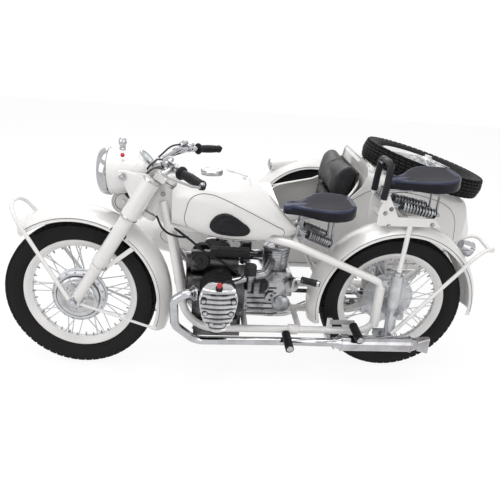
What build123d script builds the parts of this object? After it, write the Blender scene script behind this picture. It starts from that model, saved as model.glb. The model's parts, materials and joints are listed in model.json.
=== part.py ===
from build123d import *
import os
from math import cos, radians, sin, tan

# Sidecar motorcycle, in millimetres. X runs forward, Y to the rider's left and Z up.
# The rear axle stands above X 0, and Y 0 is the middle plane of the motorcycle.

# Layout of the three wheels
WHEELBASE = 1430
SIDECAR_TRACK = 1140  # between the motorcycle's middle plane and the sidecar wheel
SIDECAR_LEAD = 205  # sidecar axle ahead of the rear axle
SIDECAR_MID = 640  # between the two middle planes

# Wheel, the same for all four
TYRE_R = 340
TYRE_HALF = 49
RIM_R = 254
RIM_HALF = 27
RIM_WALL = 4
RIM_DEPTH = 32
DRUM_R = 123
DRUM_WIDTH = 34
HUB_HALF = 56
SMALL_FLANGE_R = 56
BARREL_R = 36
SPOKE_R = 2.2
SPOKES_PER_SIDE = 18
AXLE_R = 10
RUNNING_GAP = 0.3

# Front fork
RAKE = 30.5
FORK_OFFSET = 58  # fork legs ahead of the steering axis
LEG_Y = 97
LUG_IN = 73  # axle lug's two faces
LUG_OUT = 122
SLIDER_R = 24
LOWER_COVER_R = 31
UPPER_COVER_R = 37
STEER_AT_REST = -7.07  # degrees, turned a little towards the sidecar
STEER_LOCK = 38
STEM_R = 15
HEAD_R = 31
HEAD_BOTTOM = 505  # along the leg, as the next one
HEAD_TOP = 650
GUSSET_HALF = 34
COVER_SPLIT = 461  # along the leg, measured from the axle
COVER_BOTTOM = 212
COVER_TOP = 649
YOKE_THICK = 24
YOKE_LOW = 474  # undersides of the two yokes, along the leg
YOKE_HIGH = 657
LAMP_R = 95
LAMP_DEPTH = 196
BAR_R = 11
BAR_BEND = 60
BUMPER_R = 8
BUMPER_BEND = 60

# Motorcycle frame
TUBE_R = 17
LOOP_Y = 102
LOOP_BOTTOM = 230
LOOP_REAR = 92
UPRIGHT_R = 22
PLUNGER_Y = 112
PLUNGER_R = 29
CARRIER_IN = 94  # axle carrier's two faces
CARRIER_OUT = 142
DRIVE_Y = -68
DRIVE_SHAFT_R = 10

# Saddles
FRONT_SEAT = (246, 772, 2)  # rear edge x, underside z and nose-down tilt
REAR_SEAT = (-190, 926, 6)
FRAME_BAR_R = 7
THIN_BAR_R = 5.5
PIVOT_R = 8.5
SADDLE_PIVOT = (477, 668)
SPRING_ANCHOR = (474, 694)

# Engine, footrests and exhaust
GEARBOX_TOP = 505
CASE_GAP = 8  # between the crankcase and the straight tubes beside it
SUMP_X = (712, 925)
SUMP_Z = 172  # flat underside of the sump
PEG_R = 17
HEADER_R = 19
SILENCER_R = 36
SILENCER_Y = 180
SILENCER_Z = 213

# Fenders
FENDER_HALF = 80
FENDER_CROWN = 402
FENDER_EDGE = 356
FENDER_WALL = 4

# Sidecar
BODY_WALL = 12
BODY_FLOOR = 300
BODY_HALF = 272
RAIL_R = 21
RAIL_Y = -330
RAIL_Z = 255
FAR_RAIL_Y = -900
CROSS_X = (-140, 120, 480, 860)
ARM_X = 120  # cross tube that carries the sidecar wheel
ARM_Y = -1050
DECK_TILT = 13.8
COAMING_X = 72
SPARE_X = -300
SPARE_Z = 842
SPARE_LIFT = 71  # spare wheel's middle plane above the deck
LID_THICK = 9
LID_HINGE_X = 20  # hinge line of the boot lid, just behind the seat's coaming
LID_HINGE_LIFT = 8

# Clearance of a soft or touching piece from its neighbour
SEAT_GAP = 0.3

UP = Vector(-sin(radians(RAKE)), 0, cos(radians(RAKE)))
AHEAD = Vector(cos(radians(RAKE)), 0, sin(radians(RAKE)))
FRONT_AXLE = Vector(WHEELBASE, 0, TYRE_R)
REAR_AXLE = Vector(0, 0, TYRE_R)
SIDE_AXLE = Vector(SIDECAR_LEAD, -SIDECAR_TRACK, TYRE_R)
STEER_FOOT = FRONT_AXLE - AHEAD * FORK_OFFSET


def rod(start, end, radius):
    """Round bar between two points."""
    start, end = Vector(*start), Vector(*end)
    run = end - start
    return Plane(origin=start, z_dir=run) * Cylinder(
        radius, run.length, align=(Align.CENTER, Align.CENTER, Align.MIN)
    )


def pipe(points, radius, bends):
    """Round bar along straight runs joined by arcs."""
    path = FilletPolyline(*points, radius=bends)
    section = Plane(origin=path @ 0, z_dir=path % 0) * Circle(radius)
    return sweep(section, path=path)


def turned(outline):
    """Ring about the Y axis from an outline of (radius, y) corners."""
    return revolve(make_face(Polyline(*outline, close=True)), axis=Axis.Y)


def block(x, y, z):
    """Box given by its three (low, high) pairs."""
    return Pos((x[0] + x[1]) / 2, (y[0] + y[1]) / 2, (z[0] + z[1]) / 2) * Box(
        abs(x[1] - x[0]), abs(y[1] - y[0]), abs(z[1] - z[0])
    )


def side_plate(outline, low, high):
    """Plate cut to an outline of (x, z) corners, between two y values."""
    face = make_face(Polyline(*[(x, low, z) for x, z in outline], close=True))
    return extrude(face, amount=high - low, dir=(0, 1, 0))


def other_side(shape):
    return mirror(shape, about=Plane.XZ)


def both_sides(shape):
    return Compound([*shape.solids(), *other_side(shape).solids()])


def group(*shapes):
    return Compound([solid for shape in shapes for solid in shape.solids()])


def on_leg(along, ahead=0, y=0):
    """Point measured along the fork from the front axle, and ahead of the legs."""
    spot = FRONT_AXLE + UP * along + AHEAD * ahead
    return Vector(spot.X, y, spot.Z)


def tyre():
    bead, shoulder = RIM_R - 12, TYRE_R - 12
    side = [(bead, 19.7), (RIM_R + 3, 24)]
    wall = ThreePointArc((RIM_R + 3, 24), ((RIM_R + TYRE_R) / 2, TYRE_HALF), (shoulder, 36))
    crown = ThreePointArc((shoulder, 36), (TYRE_R, 0), (shoulder, -36))
    other = ThreePointArc((shoulder, -36), ((RIM_R + TYRE_R) / 2, -TYRE_HALF), (RIM_R + 3, -24))
    lines = Line(*side) + wall + crown + other
    lines += Polyline((RIM_R + 3, -24), (bead, -19.7), side[0])
    return revolve(make_face(lines), axis=Axis.Y)


def rim():
    well = RIM_R - RIM_DEPTH
    outer = [(RIM_R, RIM_HALF), (RIM_R - 5, RIM_HALF + 1), (RIM_R - 16, 23), (well, 11)]
    inner = [(RIM_R, RIM_HALF - 3), (RIM_R - 14, 19.5), (well + RIM_WALL, 8)]
    outline = outer + [(r, -y) for r, y in reversed(outer)]
    outline += inner_side(inner)
    return turned(outline)


def inner_side(inner):
    return [(r, -y) for r, y in inner] + list(reversed(inner))


def hub():
    """Brake drum on the +Y side, small flange on the other."""
    face, edge = HUB_HALF, HUB_HALF - DRUM_WIDTH
    outline = [
        (AXLE_R + RUNNING_GAP, face - 16), (AXLE_R + RUNNING_GAP, -HUB_HALF), (26, -HUB_HALF),
        (30, -46), (SMALL_FLANGE_R, -46), (SMALL_FLANGE_R, -38), (BARREL_R, -34),
        (BARREL_R + 4, edge - 20), (DRUM_R - 22, edge - 2), (DRUM_R, edge), (DRUM_R, edge + 9),
        (DRUM_R - 5, edge + 11), (DRUM_R - 5, face - 6), (DRUM_R - 14, face), (DRUM_R - 24, face),
        (DRUM_R - 24, face - 16),
    ]
    return turned(outline)


def spokes():
    """Crossed spokes from the drum and the small flange to the rim's well."""
    rows = [
        # flange radius, flange y, rim y, lean in degrees, turn of the first spoke
        (DRUM_R - 7, HUB_HALF - DRUM_WIDTH - SPOKE_R - 0.3, 9, 12, 0),
        (DRUM_R - 7, HUB_HALF - DRUM_WIDTH - SPOKE_R - 0.3, 3, -12, 20),
        (SMALL_FLANGE_R - 6, -46 - SPOKE_R - 0.3, -9, 26, 10),
        (SMALL_FLANGE_R - 6, -36.4 + SPOKE_R, -3, -26, 30),
    ]
    bars = []
    for foot_r, foot_y, rim_y, lean, first in rows:
        for k in range(SPOKES_PER_SIDE // 2):
            foot = radians(first + 720 * k / SPOKES_PER_SIDE)
            tip = foot + radians(lean)
            tip_r = RIM_R - RIM_DEPTH - 0.4
            start = (foot_r * cos(foot), foot_y, foot_r * sin(foot))
            bars.append(rod(start, (tip_r * cos(tip), rim_y, tip_r * sin(tip)), SPOKE_R))
    return group(*bars)


def fender_channel(half, crown, edge, wall, start, arc):
    """Rolled channel about the wheel's axis; angles rise from straight ahead over the top."""
    def skin(h, c, foot):
        top = ThreePointArc((edge + 16, h), (c, 0), (edge + 16, -h))
        return make_face(top + Polyline((edge + 16, -h), (foot, -h), (foot, h), (edge + 16, h)))
    section = skin(half, crown, edge) - skin(half - wall, crown - wall, edge - 1)
    channel = revolve(section, axis=Axis((0, 0, 0), (0, -1, 0)), revolution_arc=arc)
    return Rot(0, -start, 0) * channel


def frame_loop():
    """Left half of the duplex frame: down tube, cradle, rear upright and top tube."""
    head_end = (1070, 33, 800)
    knee = (1030, 52, 620)
    front_foot = (952, LOOP_Y, LOOP_BOTTOM)
    rear_foot = (LOOP_REAR, LOOP_Y, LOOP_BOTTOM)
    rear_top = (LOOP_REAR, LOOP_Y, 481)
    seat = (500, LOOP_Y - 3, 648)
    under_tank = (680, 50, 673)
    tank_front = (1000, 47, 687)
    corners = [head_end, knee, front_foot, rear_foot, rear_top, seat, under_tank, tank_front]
    loop = pipe(corners, TUBE_R, [250, 150, 75, 45, 160, 160])
    upright = rod((LOOP_REAR, LOOP_Y, 262), (LOOP_REAR, LOOP_Y, 462), UPRIGHT_R)
    rest_lug = block((291, 313), (LOOP_Y - 8, LOOP_Y + 8), (LOOP_BOTTOM, 290))
    return loop + rod(tank_front, (1045, 46.5, 689), TUBE_R) + upright + rest_lug


def frame_centre(loops):
    """Steering head with its gusset, and the cross tubes that join the loops."""
    axis = -FORK_OFFSET
    head = rod(on_leg(HEAD_BOTTOM, axis), on_leg(HEAD_TOP, axis), HEAD_R)
    ends = [on_leg(HEAD_BOTTOM + 9, axis), on_leg(HEAD_TOP - 10, axis), on_leg(HEAD_TOP - 10, axis - 38)]
    outline = [(point.X, point.Z) for point in ends] + [(1019, 690), (1050, 674)]
    gusset = side_plate(outline, -GUSSET_HALF, GUSSET_HALF)
    lug = rod((1070, -41, 832), (1070, 41, 832), 14)
    body = head + gusset + lug - loops
    body -= rod(on_leg(HEAD_BOTTOM - 15, axis), on_leg(HEAD_TOP + 15, axis), STEM_R + RUNNING_GAP)
    bars = []
    # x and z of each tube that joins the two loops
    for x, z in [(690, LOOP_BOTTOM), (440, LOOP_BOTTOM), (492, 644)]:
        bars.append(rod((x, -LOOP_Y, z), (x, LOOP_Y, z), TUBE_R - 3) - loops)
    ear = side_plate([(476, 640), (504, 640), (492, 668), (488, 708), (460, 708), (462, 660)], 22, 30)
    bars[-1] = bars[-1] + ear + other_side(ear)
    for x, z in (SADDLE_PIVOT, SPRING_ANCHOR):
        bars[-1] -= rod((x, -60, z), (x, 60, z), PIVOT_R + RUNNING_GAP)
    return group(body, *bars)


def plunger():
    """Left rear suspension unit with its frame lugs and axle carrier."""
    foot, top = Vector(18, PLUNGER_Y, 205), Vector(29, PLUNGER_Y, 540)
    run = top - foot
    stages = [
        # start and end along the unit, radius
        (0, 0.06, 17), (0.06, 0.30, 24), (0.30, 0.34, 27), (0.34, 0.50, 23), (0.50, 0.56, 27),
        (0.56, 0.88, PLUNGER_R), (0.88, 0.96, 27), (0.96, 1.0, 16),
    ]
    unit = rod(foot + run * stages[0][0], foot + run * stages[0][1], stages[0][2])
    for low, high, radius in stages[1:]:
        unit += rod(foot + run * low, foot + run * high, radius)
    unit += block((30, LOOP_REAR), (LOOP_Y - 5, LOOP_Y + 15), (472, 500))
    unit += block((22, LOOP_REAR), (LOOP_Y - 5, LOOP_Y + 15), (216, 244))
    unit += block((-24, 40), (CARRIER_IN, CARRIER_OUT), (317, 363))
    unit -= rod((0, 60, TYRE_R), (0, 160, TYRE_R), AXLE_R)
    return unit


def rear_axle():
    """Axle with its outer nuts and the spacer on the left of the hub."""
    end = CARRIER_OUT + 13
    axle = rod((0, -end, TYRE_R), (0, end, TYRE_R), AXLE_R)
    nut = rod((0, CARRIER_OUT, TYRE_R), (0, CARRIER_OUT + 10, TYRE_R), 17)
    spacer = rod((0, HUB_HALF + RUNNING_GAP, TYRE_R), (0, CARRIER_IN, TYRE_R), 16)
    return axle + nut + other_side(nut) + spacer


def rear_fender():
    channel = Pos(*REAR_AXLE) * fender_channel(
        FENDER_HALF, FENDER_CROWN, FENDER_EDGE, FENDER_WALL, -14, 198
    )
    return channel - rod((300, DRIVE_Y, TYRE_R), (420, DRIVE_Y, TYRE_R), DRIVE_SHAFT_R + 6)


def rear_bumper():
    side_y = PLUNGER_Y + 24 + BUMPER_R + SEAT_GAP
    half = [(18, side_y, 242), (-350, 94, 650), (-436, 60, 604)]
    corners = half + [(x, -y, z) for x, y, z in reversed(half)]
    return pipe(corners, BUMPER_R, [60, 50, 50, 60])


def rear_rack(fender, plungers):
    """Sheet carrier over the rear fender that holds the second saddle, with its grab handle."""
    rail = side_plate([(-140, 745), (150, 742), (150, 772), (60, 784), (-105, 784)], 66, 72)
    cheek = side_plate([(150, 742), (150, 800), (132, 878), (112, 878), (60, 784)], 66, 72)
    strut = rod((24, PLUNGER_Y, 541), (0, 76, 748), 11)
    side = rail + cheek + strut
    rack = side + other_side(side)
    for x in (-95, 20, 120):
        rack += block((x - 9, x + 9), (-72, 72), (772, 784))
    corners = [(138, 70, 850), (128, 70, 1012), (128, -70, 1012), (138, -70, 850)]
    rack += pipe(corners, 12, [40, 40])
    return rack - fender - plungers


def tail_lamp(fender):
    """Drop-shaped lamp on the rear fender, its lens to the rear."""
    outline = [(0, 46), (0, 104), (30, 104), (35, 98), (35, 78), (26, 46)]
    face = make_face(Polyline(*outline, close=True))
    lamp = revolve(Plane.XZ * face, axis=Axis.Z)
    plane = Plane(origin=(-246, 0, 656), z_dir=(-1, 0, -0.42))
    return plane * lamp - fender


TANK_STATIONS = [
    # x, bottom, top, half width, corner radius
    (492, 672, 700, 34, 12),
    (560, 642, 768, 82, 55),
    (660, 632, 866, 126, 95),
    (790, 638, 916, 146, 110),
    (940, 666, 914, 118, 92),
    (1032, 694, 862, 72, 55),
]


def tank_form(grow=0.0):
    faces = []
    for x, low, high, half, corner in TANK_STATIONS:
        plane = Plane(origin=(x, 0, (low + high) / 2), x_dir=(0, 1, 0), z_dir=(1, 0, 0))
        width, height = 2 * (half + grow), high - low + 2 * grow
        corner = min(corner + grow, height / 2 - 1, width / 2 - 1)
        faces.append(plane * RectangleRounded(width, height, corner))
    return loft(faces)


LID_X = 759  # middle of the tool tray's lid, which lies along the tank's back
LID_LENGTH = 109
LID_HALF = 56
LID_SLOPE = 14.6
LID_GAP = 1.5
HINGE_Y = -58.5  # hinge line, beside the lid's right edge
HINGE_LIFT = 3.5
KNUCKLE_R = 4.5


def tank_top(form, x, y):
    """Height of the tank's top at one place."""
    column = form & block((x - 0.5, x + 0.5), (y - 0.5, y + 0.5), (780, 1000))
    return column.bounding_box().max.Z


def lid_plane(form):
    """Plane along the lid, with its origin on the tank's ridge."""
    slope = radians(LID_SLOPE)
    origin = (LID_X, 0, tank_top(form, LID_X, 0))
    return Plane(origin=origin, x_dir=(cos(slope), 0, sin(slope)), z_dir=(-sin(slope), 0, cos(slope)))


def hinge_line(form):
    """Middle of the lid's hinge and the direction along it."""
    slope = radians(LID_SLOPE)
    middle = Vector(LID_X, HINGE_Y, tank_top(form, LID_X, HINGE_Y) + HINGE_LIFT)
    return middle, Vector(cos(slope), 0, sin(slope))


def lid_box(form, grow, low=-60):
    """Block square to the tank's back over the lid's outline, grown by a margin."""
    length, width = LID_LENGTH + 2 * grow, 2 * (LID_HALF + grow)
    upward = (Align.CENTER, Align.CENTER, Align.MIN)
    return lid_plane(form) * Pos(0, 0, low) * Box(length, width, 40 - low, align=upward)


def tank():
    form = tank_form()
    groove = side_plate([(480, 600), (480, 664), (620, 696), (1040, 712), (1060, 600)], 22, LOOP_Y + 2)
    form = form - groove - other_side(groove)
    neck = rod(on_leg(480, -FORK_OFFSET), on_leg(700, -FORK_OFFSET), HEAD_R + 8)
    notch = side_plate([(1015, 660), (1140, 660), (1140, 880), (1015, 880)], -46, 46)
    form = form - notch - neck
    shell = lid_box(form, 0) & (form - Pos(0, 0, -LID_THICK) * form)
    below = form & Pos(0, 0, -LID_THICK - 0.6) * form
    gap = lid_box(form, LID_GAP)
    body = (form - gap) + (below & gap) - lid_box(form, -8, -80)
    middle, along = hinge_line(form)
    reach = LID_LENGTH / 2 - 6
    for sign in (1, -1):
        inner, outer = middle + along * sign * 16, middle + along * sign * reach
        body += rod(inner, outer, KNUCKLE_R)
        shell -= rod(inner - along * sign * 0.5, outer + along * sign, KNUCKLE_R + 0.5)
    body -= rod(middle - along * 15.8, middle + along * 15.8, KNUCKLE_R + 0.5)
    shell += rod(middle - along * 15.5, middle + along * 15.5, KNUCKLE_R)
    neck_ring = rod((871, 0, 895), (871, 0, 922), 36)
    return body + neck_ring, shell


def filler_cap():
    cap = rod((871, 0, 922.3), (871, 0, 932), 45) + rod((871, 0, 932), (871, 0, 936), 38)
    return cap - rod((871, 0, 800), (871, 0, 922.3), 60)


def knee_pad(form):
    outline = Plane(origin=(790, 90, 735), x_dir=(1, 0, 0), z_dir=(0, -1, 0)) * Ellipse(88, 46)
    prism = extrude(outline, amount=80, dir=(0, 1, 0))
    return (prism & tank_form(11)) - tank_form(SEAT_GAP)


def engine(loops):
    """Crankcase with its sump, feet, timing cover and the dynamo on top."""
    half = LOOP_Y - TUBE_R - CASE_GAP
    case = fillet(block((702, 935), (-half, half), (262, 474)).edges().filter_by(Axis.X), 22)
    case += block(SUMP_X, (-half + 3, half - 3), (SUMP_Z, 270))
    pad = side_plate(scaled(HEAD_OUTLINE, 0.86), 60, BARREL_IN)
    case += pad + other_side(pad)
    case += Plane(origin=(935, 0, 395), z_dir=(1, 0, 0)) * Cylinder(
        80, 22, align=(Align.CENTER, Align.CENTER, Align.MIN)
    )
    case += rod((735, 0, 512), (945, 0, 512), 54) + rod((945, 0, 512), (957, 0, 512), 38)
    for x in (730, 800):
        case += block((x, x + 26), (-LOOP_Y, LOOP_Y), (LOOP_BOTTOM + 4, 276)) - loops
    return case


HEAD_OUTLINE = [
    (757, 500), (778, 524), (806, 530), (846, 530), (874, 524), (895, 500), (907, 462),
    (904, 420), (893, 372), (876, 330), (852, 308), (826, 303), (800, 308), (776, 330),
    (759, 372), (748, 420), (745, 462),
]


BARREL_IN, HEAD_JOINT, HEAD_TIP = 112, 236, 276


def scaled(outline, share):
    mid_x, mid_z = 826, 415
    return [(mid_x + (x - mid_x) * share, mid_z + (z - mid_z) * share) for x, z in outline]


def cylinder():
    """Left finned barrel, from the crankcase to the head joint."""
    barrel = side_plate(scaled(HEAD_OUTLINE, 0.72), BARREL_IN, HEAD_JOINT)
    for k in range(8):
        low = BARREL_IN + 12 + 13.5 * k
        barrel += side_plate(scaled(HEAD_OUTLINE, 0.96), low, low + 4)
    return barrel


def cylinder_head():
    """Left head: base plate, cross ribs and the nut bosses."""
    head = side_plate(HEAD_OUTLINE, HEAD_JOINT, HEAD_JOINT + 16)
    envelope = side_plate(scaled(HEAD_OUTLINE, 0.99), HEAD_JOINT + 16, HEAD_TIP)
    for k in range(10):
        z = 322 + 21 * k
        head += envelope & block((730, 920), (HEAD_JOINT + 16, HEAD_TIP), (z, z + 8))
    for x, z in [(764, 455), (888, 455), (776, 397), (876, 397), (800, 347), (852, 347)]:
        head += rod((x, HEAD_JOINT + 14, z), (x, HEAD_TIP - 6, z), 12)
    head += rod((831, HEAD_JOINT + 14, 500), (831, HEAD_TIP + 8, 512), 13)
    return head


def carburettor(cylinders, pot):
    body = rod((690, 132, 452), (690, 132, 560), 24) + rod((700, 132, 500), (790, 150, 486), 17)
    bowl = rod((664, 150, 440), (664, 150, 492), 19)
    elbow = pipe([(672, 130, 505), (620, 112, 512), (580, 30, 556)], 19, [40])
    return body + bowl + elbow - cylinders - pot


def air_cleaner():
    return rod((565, 0, GEARBOX_TOP), (565, 0, 590), 58) + rod((565, 0, 590), (565, 0, 600), 44)


def gearbox():
    case = fillet(block((520, 702), (-82, 82), (296, GEARBOX_TOP)).edges().filter_by(Axis.X), 30)
    boss = rod((500, 70, 455), (500, 112, 455), 30)
    coupling = rod((486, DRIVE_Y, TYRE_R + 4), (521, DRIVE_Y, TYRE_R + 4), 38)
    rear_lid = block((494, 520), (-60, 100), (400, 490))
    feet = block((560, 600), (-60, 60), (272, 300)) + block((540, 580), (-40, 40), (272, 300))
    return case + boss + coupling + rear_lid + feet


def footrests(loops):
    """Four rubber footrests; the rear pair stands on arms from the cradle."""
    front = rod((506, LOOP_Y, 229), (500, 232, 206), 9) + rod((505, 126, 224), (500, 232, 206), PEG_R)
    front += block((492, 520), (LOOP_Y - 4, LOOP_Y + TUBE_R + 5), (LOOP_BOTTOM - 21, LOOP_BOTTOM + 4))
    rear = rod((202, 112, 281), (193, 240, 262), 8) + rod((201, 133, 278), (193, 240, 262), PEG_R)
    rear += block((190, 302), (LOOP_Y + 8, LOOP_Y + 16), (270, 290))
    pegs = [front - loops, rear - loops]
    return group(*pegs, *[other_side(peg) for peg in pegs])


def kick_lever():
    lever = rod((500, 112.3, 455), (500, 140, 455), 10)
    lever += pipe([(500, 134, 450), (500, 134, 505), (420, 172, 506)], 8, [18])
    return lever + rod((468, 150, 507), (395, 186, 507), 13)


def header_point(corners, share):
    """Point on the header pipe's first straight run."""
    start = Vector(*corners[0])
    return start + (Vector(*corners[1]) - start) * share


def exhaust(loops):
    """Left header pipe, silencer and fishtail."""
    corners = [
        (913, 180.4, 447.2), (962, 205, 454), (1012, 208, 424), (1006, 200, 300), (915, 140, 186),
        (470, 130, 183), (350, SILENCER_Y, SILENCER_Z), (274, SILENCER_Y, SILENCER_Z),
    ]
    header = pipe(corners, HEADER_R, [38, 34, 70, 80, 150, 100])
    header += rod(header_point(corners, 0.26), header_point(corners, 0.5), HEADER_R + 6)
    points = [(292, 0), (292, HEADER_R + 1), (262, SILENCER_R), (-60, SILENCER_R), (-92, 26), (-92, 0)]
    can = revolve(make_face(Polyline(*points, close=True)), axis=Axis.X)
    can = Pos(0, SILENCER_Y, SILENCER_Z) * can
    y, z = SILENCER_Y, SILENCER_Z
    tail = side_plate([(-91, z - 25), (-91, z + 25), (-150, z + 36), (-150, z - 48)], y - 25, y + 25)
    plan = [(-91, y - 25, 0), (-91, y + 25, 0), (-150, y + 13, 0), (-150, y - 13, 0)]
    tail &= extrude(make_face(Polyline(*plan, close=True)), amount=400, dir=(0, 0, 1))
    tail = fillet(tail.edges().filter_by(lambda edge: abs(edge.tangent_at(0.5).X) > 0.7), 10)
    bracket = block((300, 322), (LOOP_Y, SILENCER_Y - 12), (202, 222)) - loops
    return header + can + tail + bracket


def final_drive(plungers, loops):
    """Bevel box beside the rear hub, with the shaft from the gearbox."""
    face = -(HUB_HALF + 6)
    case = rod((0, face - 26, TYRE_R), (0, face, TYRE_R), 88)
    neck = rod((0, DRIVE_Y - 2, TYRE_R), (118, DRIVE_Y - 2, TYRE_R), 24)
    case += neck & block((0, 200), (-200, face), (0, 900))
    case -= rod((0, -150, TYRE_R), (0, 0, TYRE_R), AXLE_R + RUNNING_GAP)
    shaft = rod((118, DRIVE_Y, TYRE_R), (486, DRIVE_Y, TYRE_R + 4), DRIVE_SHAFT_R)
    return case + shaft - plungers - loops


SADDLE_OUTLINE = [
    # x ahead of the saddle's rear edge, half width
    (0, 78), (40, 122), (95, 138), (150, 122), (205, 72), (250, 40), (300, 30),
]


def saddle():
    """Sprung rubber saddle, level, with its rear edge above the origin."""
    right = [(x, -y) for x, y in reversed(SADDLE_OUTLINE)]
    outline = SADDLE_OUTLINE + right
    face = make_face(Polyline(*outline, close=True))
    return fillet(extrude(face, amount=46).edges().filter_by(Axis.Z), 12)


def saddle_frame(seat, reach, front, rear):
    """Carrier of one saddle: rails under it, its nose pivot and the two springs behind."""
    seat_x, seat_z, tilt = seat
    nose, base = reach
    drop = FRAME_BAR_R / cos(radians(tilt)) + SEAT_GAP

    def under(x):
        return seat_z - (x - seat_x) * tan(radians(tilt)) - drop

    rail = rod((nose[0] - 10, 40, under(nose[0] - 10)), (base, 40, under(base)), FRAME_BAR_R)
    link = rod((nose[0] - 12, 40, under(nose[0] - 12)), (nose[0], 40, nose[1]), THIN_BAR_R)
    tail = rod((rear[0], 40, under(rear[0])), (rear[0], 40, rear[1]), THIN_BAR_R)
    pins = rod((rear[0], 30, rear[1]), (rear[0], 66, rear[1]), PIVOT_R)
    start, end = Vector(front[0], 58, front[1]), Vector(rear[0], 58, rear[1])
    run = end - start
    spring = rod(start, end, 6)
    for k in range(10):
        low = start + run * (0.24 + 0.066 * k)
        spring += rod(low, low + run * 0.036, 20)
    side = rail + link + tail + pins + spring
    cross_x = base + 20
    across = rod((cross_x, -40, under(cross_x)), (cross_x, 40, under(cross_x)), THIN_BAR_R)
    pivot = rod((nose[0], -66, nose[1]), (nose[0], 66, nose[1]), PIVOT_R)
    anchor = rod((front[0], -66, front[1]), (front[0], 66, front[1]), PIVOT_R)
    return side + other_side(side) + across + pivot + anchor


def headlamp():
    """Lamp shell with the speedometer and the knob on top, and its chrome rim."""
    plane = Plane(origin=(1289, 0, 901), x_dir=(0, 1, 0), z_dir=(cos(radians(3)), 0, -sin(radians(3))))
    bowl = [(LAMP_R * cos(radians(a)), -LAMP_DEPTH * sin(radians(a))) for a in range(0, 80, 12)]
    face = make_face(Polyline((0, 0), *bowl, (0, -LAMP_DEPTH), close=True))
    shell = plane * revolve(Plane.XZ * face, axis=Axis.Z)
    dial_seat = Plane(origin=(1146, 0, 962), z_dir=(-1, 0, 1))
    shell -= dial_seat * Box(300, 300, 120, align=(Align.CENTER, Align.CENTER, Align.MIN))
    dial = dial_seat * Cylinder(40, 14)
    knob = rod((1243, 0, 985), (1241, 0, 1040), 11)
    outline = [(0, SEAT_GAP), (99, SEAT_GAP), (99, 14), (93, 34), (70, 44), (0, 50)]
    ring = plane * revolve(Plane.XZ * make_face(Polyline(*outline, close=True)), axis=Axis.Z)
    return shell + dial + knob, ring


def fork_yokes(bar):
    """Stem with the two yokes that clamp the legs, and the handlebar's clamp."""
    stem = rod(on_leg(YOKE_LOW + 6, -FORK_OFFSET), on_leg(YOKE_HIGH + 33, -FORK_OFFSET), STEM_R)
    plates = None
    for low in (YOKE_LOW, YOKE_HIGH):
        plane = Plane(origin=on_leg(low), x_dir=(0, 1, 0), z_dir=UP)
        shape = plane * (Pos(0, FORK_OFFSET) * Circle(38) + Pos(0, 22) * Rectangle(2 * LEG_Y, 50))
        plate = extrude(shape, amount=YOKE_THICK)
        plates = plate if plates is None else plates + plate
    seat = Plane(origin=on_leg(YOKE_HIGH), x_dir=(0, 1, 0), z_dir=UP)
    plates += seat * (Pos(0, -16, 24) * Box(84, 44, 48)) - bar
    return stem, plates


def fork_covers(plates, shell):
    """Left upper shroud with its lamp arm, and the lower shroud."""
    leg = rod(on_leg(COVER_SPLIT + 1, 0, LEG_Y), on_leg(COVER_TOP, 0, LEG_Y), UPPER_COVER_R)
    arm = side_plate([(1236, 926), (1112, 920), (1100, 840), (1178, 800), (1214, 880)], 92, 112)
    arm += rod((1216, 70, 907), (1216, 117, 907), 13)
    low = rod(on_leg(COVER_BOTTOM, 0, LEG_Y), on_leg(COVER_SPLIT, 0, LEG_Y), LOWER_COVER_R)
    cuff_start, cuff_end = on_leg(COVER_BOTTOM - 2, 0, LEG_Y), on_leg(COVER_BOTTOM + 36, 0, LEG_Y)
    low += rod(cuff_start, cuff_end, LOWER_COVER_R + 2)
    return group(leg + arm - plates - shell, low - plates)


def fork_slider():
    leg = rod(on_leg(-12, 0, LEG_Y), on_leg(COVER_BOTTOM - 2, 0, LEG_Y), SLIDER_R)
    lug = rod((WHEELBASE, LUG_IN, TYRE_R), (WHEELBASE, LUG_OUT, TYRE_R), 26)
    return leg + lug - rod((WHEELBASE, 60, TYRE_R), (WHEELBASE, 130, TYRE_R), AXLE_R)


def front_axle():
    """Axle with its nuts, the brake's fixed plate and the spacer on the right."""
    y_end = LUG_OUT + 12
    axle = rod((WHEELBASE, -y_end, TYRE_R), (WHEELBASE, y_end, TYRE_R), AXLE_R)
    nut = rod((WHEELBASE, LUG_OUT, TYRE_R), (WHEELBASE, LUG_OUT + 9, TYRE_R), 17)
    plate = rod((WHEELBASE, HUB_HALF - 9, TYRE_R), (WHEELBASE, HUB_HALF + 4, TYRE_R), DRUM_R - 29)
    boss = rod((WHEELBASE, HUB_HALF + 4, TYRE_R), (WHEELBASE, LUG_IN, TYRE_R), 30)
    spacer = rod((WHEELBASE, -LUG_IN, TYRE_R), (WHEELBASE, -HUB_HALF - RUNNING_GAP, TYRE_R), 16)
    return axle + nut + other_side(nut) + plate + boss + spacer


def front_fender(covers, sliders):
    """Channel between the legs, with the stays to its rear half on each side."""
    channel = Pos(*FRONT_AXLE) * fender_channel(84, 408, 354, FENDER_WALL, 50, 150)
    for side in (1, -1):
        start, end = on_leg(180, 0, side * LEG_Y), on_leg(COVER_SPLIT + 60, 0, side * LEG_Y)
        channel -= rod(start, end, UPPER_COVER_R + 3)
    low = rod((1404, LUG_OUT - 10, 330), (1081, 82, 222), 6)
    high = rod(on_leg(150, -10, LEG_Y - 8), (1178, 82, 590), 6)
    stays = (low + high) - sliders - covers
    return channel + stays + other_side(stays)


def front_bumper():
    side_y = LUG_OUT + BUMPER_R + SEAT_GAP
    corners = [(1448, side_y, 358), (1697, 92, 736), (1697, -92, 736), (1448, -side_y, 358)]
    return pipe(corners, BUMPER_R, [BUMPER_BEND, BUMPER_BEND])


def horn(plates):
    """Disc horn beside the fender's crown, facing left, on a bracket from the lower yoke."""
    disc = rod((1248, -60, 762), (1248, -36, 762), 52) + rod((1248, -66, 762), (1248, -50, 762), 28)
    return disc + block((1180, 1210), (-52, -44), (750, 774)) - plates


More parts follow.
